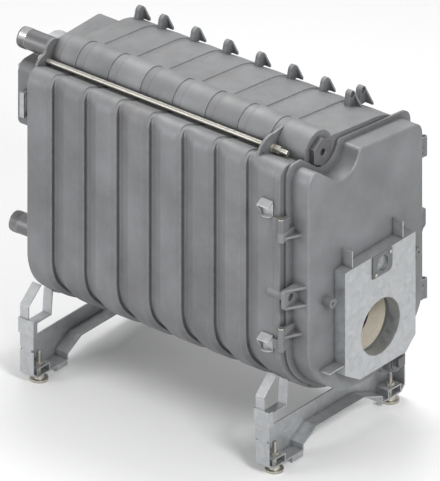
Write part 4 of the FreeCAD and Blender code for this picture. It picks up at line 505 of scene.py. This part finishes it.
def pipe_steel(name):
    """Dark mill skin of pipes, plugs and nipples, bright along the edges."""
    material, tree, shader = new_finish(name)
    marks = place_group(tree, TOOL_MARKS, Spacing=900.0)
    edge = place_group(tree, WORN_EDGE, Radius=0.0012, Break_Up=200.0)
    rust = place_group(tree, RUST_BLOOM, Patch_Size=30.0, Amount=0.5)
    colour = blend_colour(tree, marks["Height"], PIPE_DARK, PIPE)
    colour = blend_colour(tree, rust["Rust"], colour, RUST)
    colour = blend_colour(tree, edge["Edge"], colour, BRIGHT)
    feed_all(tree, shader, {
        "Base Color": colour,
        "Roughness": span(tree, marks["Height"], *TURNED_CUT, *PIPE_ROUGHNESS),
        "Metallic": PIPE_METALNESS,
        "Normal": bumped(tree, marks["Height"], distance=0.0002, strength=0.35, over=edge["Normal"]),
    })
    return material


def cut_thread(name, root, crest):
    """Thread whose tone goes from dark to brighter along its turning marks."""
    material, tree, shader = new_finish(name)
    marks = place_group(tree, TOOL_MARKS, Spacing=1600.0)
    rust = place_group(tree, RUST_BLOOM, Patch_Size=40.0, Amount=0.35)
    colour = blend_colour(tree, marks["Height"], root, crest)
    feed_all(tree, shader, {
        "Base Color": blend_colour(tree, rust["Rust"], colour, RUST),
        "Roughness": span(tree, marks["Height"], *TURNED_CUT, *THREAD_ROUGHNESS),
        "Metallic": THREAD_METALNESS,
    })
    return material


def fibre(name, fineness):
    """Pressed or braided ceramic fibre."""
    material, tree, shader = new_finish(name)
    skin = place_group(tree, SAND_GRAIN, Grain=fineness, Swell=60.0)
    feed_all(tree, shader, {
        "Base Color": blend_colour(tree, skin["Mottle"], FIBRE_DARK, FIBRE),
        "Roughness": FIBRE_ROUGHNESS,
        "Normal": bumped(tree, skin["Height"], distance=0.0012, strength=0.8),
    })
    return material


def plain_finish(name, inputs):
    """Finish that is the same all over."""
    material, tree, shader = new_finish(name)
    feed_all(tree, shader, inputs)
    return material


FINISHES = {
    "cast_iron": raw_iron("cast_iron"),
    "galvanised_sheet": galvanised(),
    "zinc_steel": plated_steel(),
    "pipe_steel": pipe_steel("pipe_steel"),
    "nipple_steel": pipe_steel("nipple_steel"),
    "sealing_rope": fibre("sealing_rope", 500.0),
    "fibre_board": fibre("fibre_board", 350.0),
    "sight_glass": plain_finish("sight_glass", {
        "Base Color": GLASS,
        "Roughness": GLASS_ROUGHNESS,
        "IOR": GLASS_IOR,
        "Transmission Weight": GLASS_CLEARNESS,
    }),
}
OWN_CASTINGS = {
    "door": raw_iron("cast_iron_door", shift=7.7, tone=1.06, rust_amount=0.3),
    "sight_port": raw_iron("cast_iron_sight_port", shift=9.3, tone=0.8, rust_amount=0.15),
}


# Dressing the solids

def section_finishes():
    """One finish for each cast section, because no two castings come out alike."""
    middle = sorted(name for name in NODES if name.startswith("middle_section"))
    sections = ["rear_section", *middle, "front_section"]
    return {
        name: raw_iron("cast_iron_" + name, shift=SECTION_SHIFT * index, tone=SECTION_TONES[index])
        for index, name in enumerate(sections)
    }


def dress_nodes():
    """Gives every solid the finish of its material slot, and the large castings one each."""
    castings = {**section_finishes(), **OWN_CASTINGS}
    for part in frame["record"]["subparts"]:
        name = part["node"]
        materials = NODES[name].data.materials
        materials.clear()
        materials.append(castings.get(name, FINISHES[part["material_slot"]]))


# Threads

ThreadForm = namedtuple("ThreadForm", "pitch depth steps finish slot")
ROD_FINISH = cut_thread("rod_thread", ROD_THREAD_ROOT, ROD_THREAD_CREST)
PIPE_FORM = ThreadForm(PIPE_THREAD_PITCH, PIPE_THREAD_DEPTH, PIPE_THREAD_STEPS,
                       cut_thread("pipe_thread", PIPE_THREAD_ROOT, BRIGHT), "pipe_steel")
ROD_FORM = ThreadForm(ROD_THREAD_PITCH, ROD_THREAD_DEPTH, ROD_THREAD_STEPS, ROD_FINISH, "zinc_steel")
STUD_FORM = ThreadForm(STUD_THREAD_PITCH, STUD_THREAD_DEPTH, ROD_THREAD_STEPS, ROD_FINISH, "zinc_steel")


def add_piece(name, points, faces, finish, body):
    """Flat-shaded mesh piece in the row frame that rides on a body."""
    mesh = bpy.data.meshes.new(name)
    mesh.from_pydata(points, [], faces)
    mesh.validate()
    mesh.materials.append(finish)
    piece = bpy.data.objects.new(name, mesh)
    bpy.context.scene.collection.objects.link(piece)
    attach(piece, body)


def thread(node, form, start, direction, radius, length):
    """Helical ridge of triangular section, wound on a node's bar and fading out at both ends."""
    aside = direction.orthogonal().normalized()
    upward = direction.cross(aside)
    half = form.pitch * RIDGE_HALF_WIDTH
    last = int(length / form.pitch * form.steps)
    points = []
    faces = []
    for index in range(last + 1):
        turn = 2 * math.pi * index / form.steps
        along = form.pitch * index / form.steps
        out = aside * math.cos(turn) + upward * math.sin(turn)
        crest = form.depth * min(1.0, index / form.steps, (last - index) / form.steps)
        for offset, lift in ((-half, -RIDGE_SINK), (0.0, crest), (half, -RIDGE_SINK)):
            points.append(start + direction * (along + offset) + out * (radius + lift))
        if index:
            base = 3 * (index - 1)
            for side in range(3):
                other = (side + 1) % 3
                faces.append((base + side, base + other, base + 3 + other, base + 3 + side))
    faces.append((0, 2, 1))
    faces.append((3 * last, 3 * last + 1, 3 * last + 2))
    add_piece(node + "_thread", points, faces, form.finish, "block")


def box_and_centre(node):
    """Low corner, high corner and centre of a node's box."""
    low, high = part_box(node)
    return low, high, (Vector(low) + Vector(high)) / 2


def pipe_threads():
    """Cut threads on the two pipe stubs."""
    for node in ("supply_stub", "return_stub"):
        low, high, centre = box_and_centre(node)
        start = Vector((centre.x, high[1] - PIPE_THREAD_LENGTH + PIPE_THREAD_PITCH, centre.z))
        thread(node, PIPE_FORM, start, ALONG_BLOCK, (high[0] - low[0]) / 2 - PIPE_THREAD_INSET,
               PIPE_THREAD_LENGTH - 2 * PIPE_THREAD_PITCH)


def rod_threads():
    """The tie rods are threaded from end to end."""
    for node in ("upper_tie_rod", "lower_tie_rod"):
        low, high, centre = box_and_centre(node)
        start = Vector((centre.x, low[1] + ROD_THREAD_PITCH, centre.z))
        thread(node, ROD_FORM, start, ALONG_BLOCK, (high[0] - low[0]) / 2 - ROD_THREAD_INSET,
               high[1] - low[1] - 2 * ROD_THREAD_PITCH)


def stud_threads():
    """Threads on the studs of the levelling feet."""
    for node in ("front_left_foot", "front_right_foot", "rear_left_foot", "rear_right_foot"):
        _, high, centre = box_and_centre(node)
        start = Vector((centre.x, centre.y, STUD_THREAD_START))
        thread(node, STUD_FORM, start, UPRIGHT, STUD_RADIUS,
               high[2] - STUD_THREAD_START - STUD_THREAD_PITCH)


# Stage, lamps and camera

def floor():
    """Pale floor that runs out of view."""
    mesh = bpy.data.meshes.new("floor")
    corners = [
        (-FLOOR_REACH, -FLOOR_REACH, 0),
        (FLOOR_REACH, -FLOOR_REACH, 0),
        (FLOOR_REACH, FLOOR_REACH, 0),
        (-FLOOR_REACH, FLOOR_REACH, 0),
    ]
    mesh.from_pydata(corners, [], [(0, 1, 2, 3)])
    mesh.materials.append(plain_finish("floor", {
        "Base Color": FLOOR_PALE,
        "Roughness": FLOOR_ROUGHNESS,
    }))
    plane = bpy.data.objects.new("floor", mesh)
    bpy.context.scene.collection.objects.link(plane)


def facing(direction):
    """Turn that makes a lamp or camera look along a direction."""
    return direction.to_track_quat("-Z", "Y").to_euler()


def lamp(name, spot, size, power):
    data = bpy.data.lights.new(name, "AREA")
    data.shape = "DISK"
    data.size = size
    data.energy = power
    lamp_object = bpy.data.objects.new(name, data)
    lamp_object.location = spot
    lamp_object.rotation_euler = facing(Vector(LAMP_AIM) - Vector(spot))
    bpy.context.scene.collection.objects.link(lamp_object)


def studio():
    """Soft key from the left front, one lamp at the left rear, one above, and a bright room."""
    for name, spot, size, power in LAMPS:
        lamp(name, spot, size, power)
    world = bpy.data.worlds.new("studio")
    bpy.context.scene.world = world
    world.use_nodes = True
    tree = world.node_tree
    tree.nodes.clear()
    path = put(tree, "ShaderNodeLightPath").outputs
    seen = maths(tree, "MAXIMUM", path["Is Camera Ray"], path["Is Glossy Ray"])
    seen = maths(tree, "MAXIMUM", seen, path["Is Transmission Ray"])
    strength = span(tree, seen, 0.0, 1.0, ROOM_LIGHT, ROOM_SEEN)
    room = put(tree, "ShaderNodeBackground", {"Color": ROOM_WHITE, "Strength": strength})
    put(tree, "ShaderNodeOutputWorld", {"Surface": room.outputs["Background"]})


def camera():
    data = bpy.data.cameras.new("camera")
    data.type = "ORTHO"
    data.ortho_scale = VIEW_HEIGHT
    data.clip_end = VIEW_CLIP_END
    eye = bpy.data.objects.new("camera", data)
    outward = Vector((
        math.sin(VIEW_AZIMUTH) * math.cos(VIEW_ELEVATION),
        -math.cos(VIEW_AZIMUTH) * math.cos(VIEW_ELEVATION),
        math.sin(VIEW_ELEVATION),
    ))
    eye.location = VIEW_CENTRE + outward * VIEW_DISTANCE
    eye.rotation_euler = facing(-outward)
    bpy.context.scene.collection.objects.link(eye)
    bpy.context.scene.camera = eye


camera()
studio()
floor()
dress_nodes()
pipe_threads()
rod_threads()
stud_threads()
bpy.context.scene.view_settings.view_transform = "Standard"
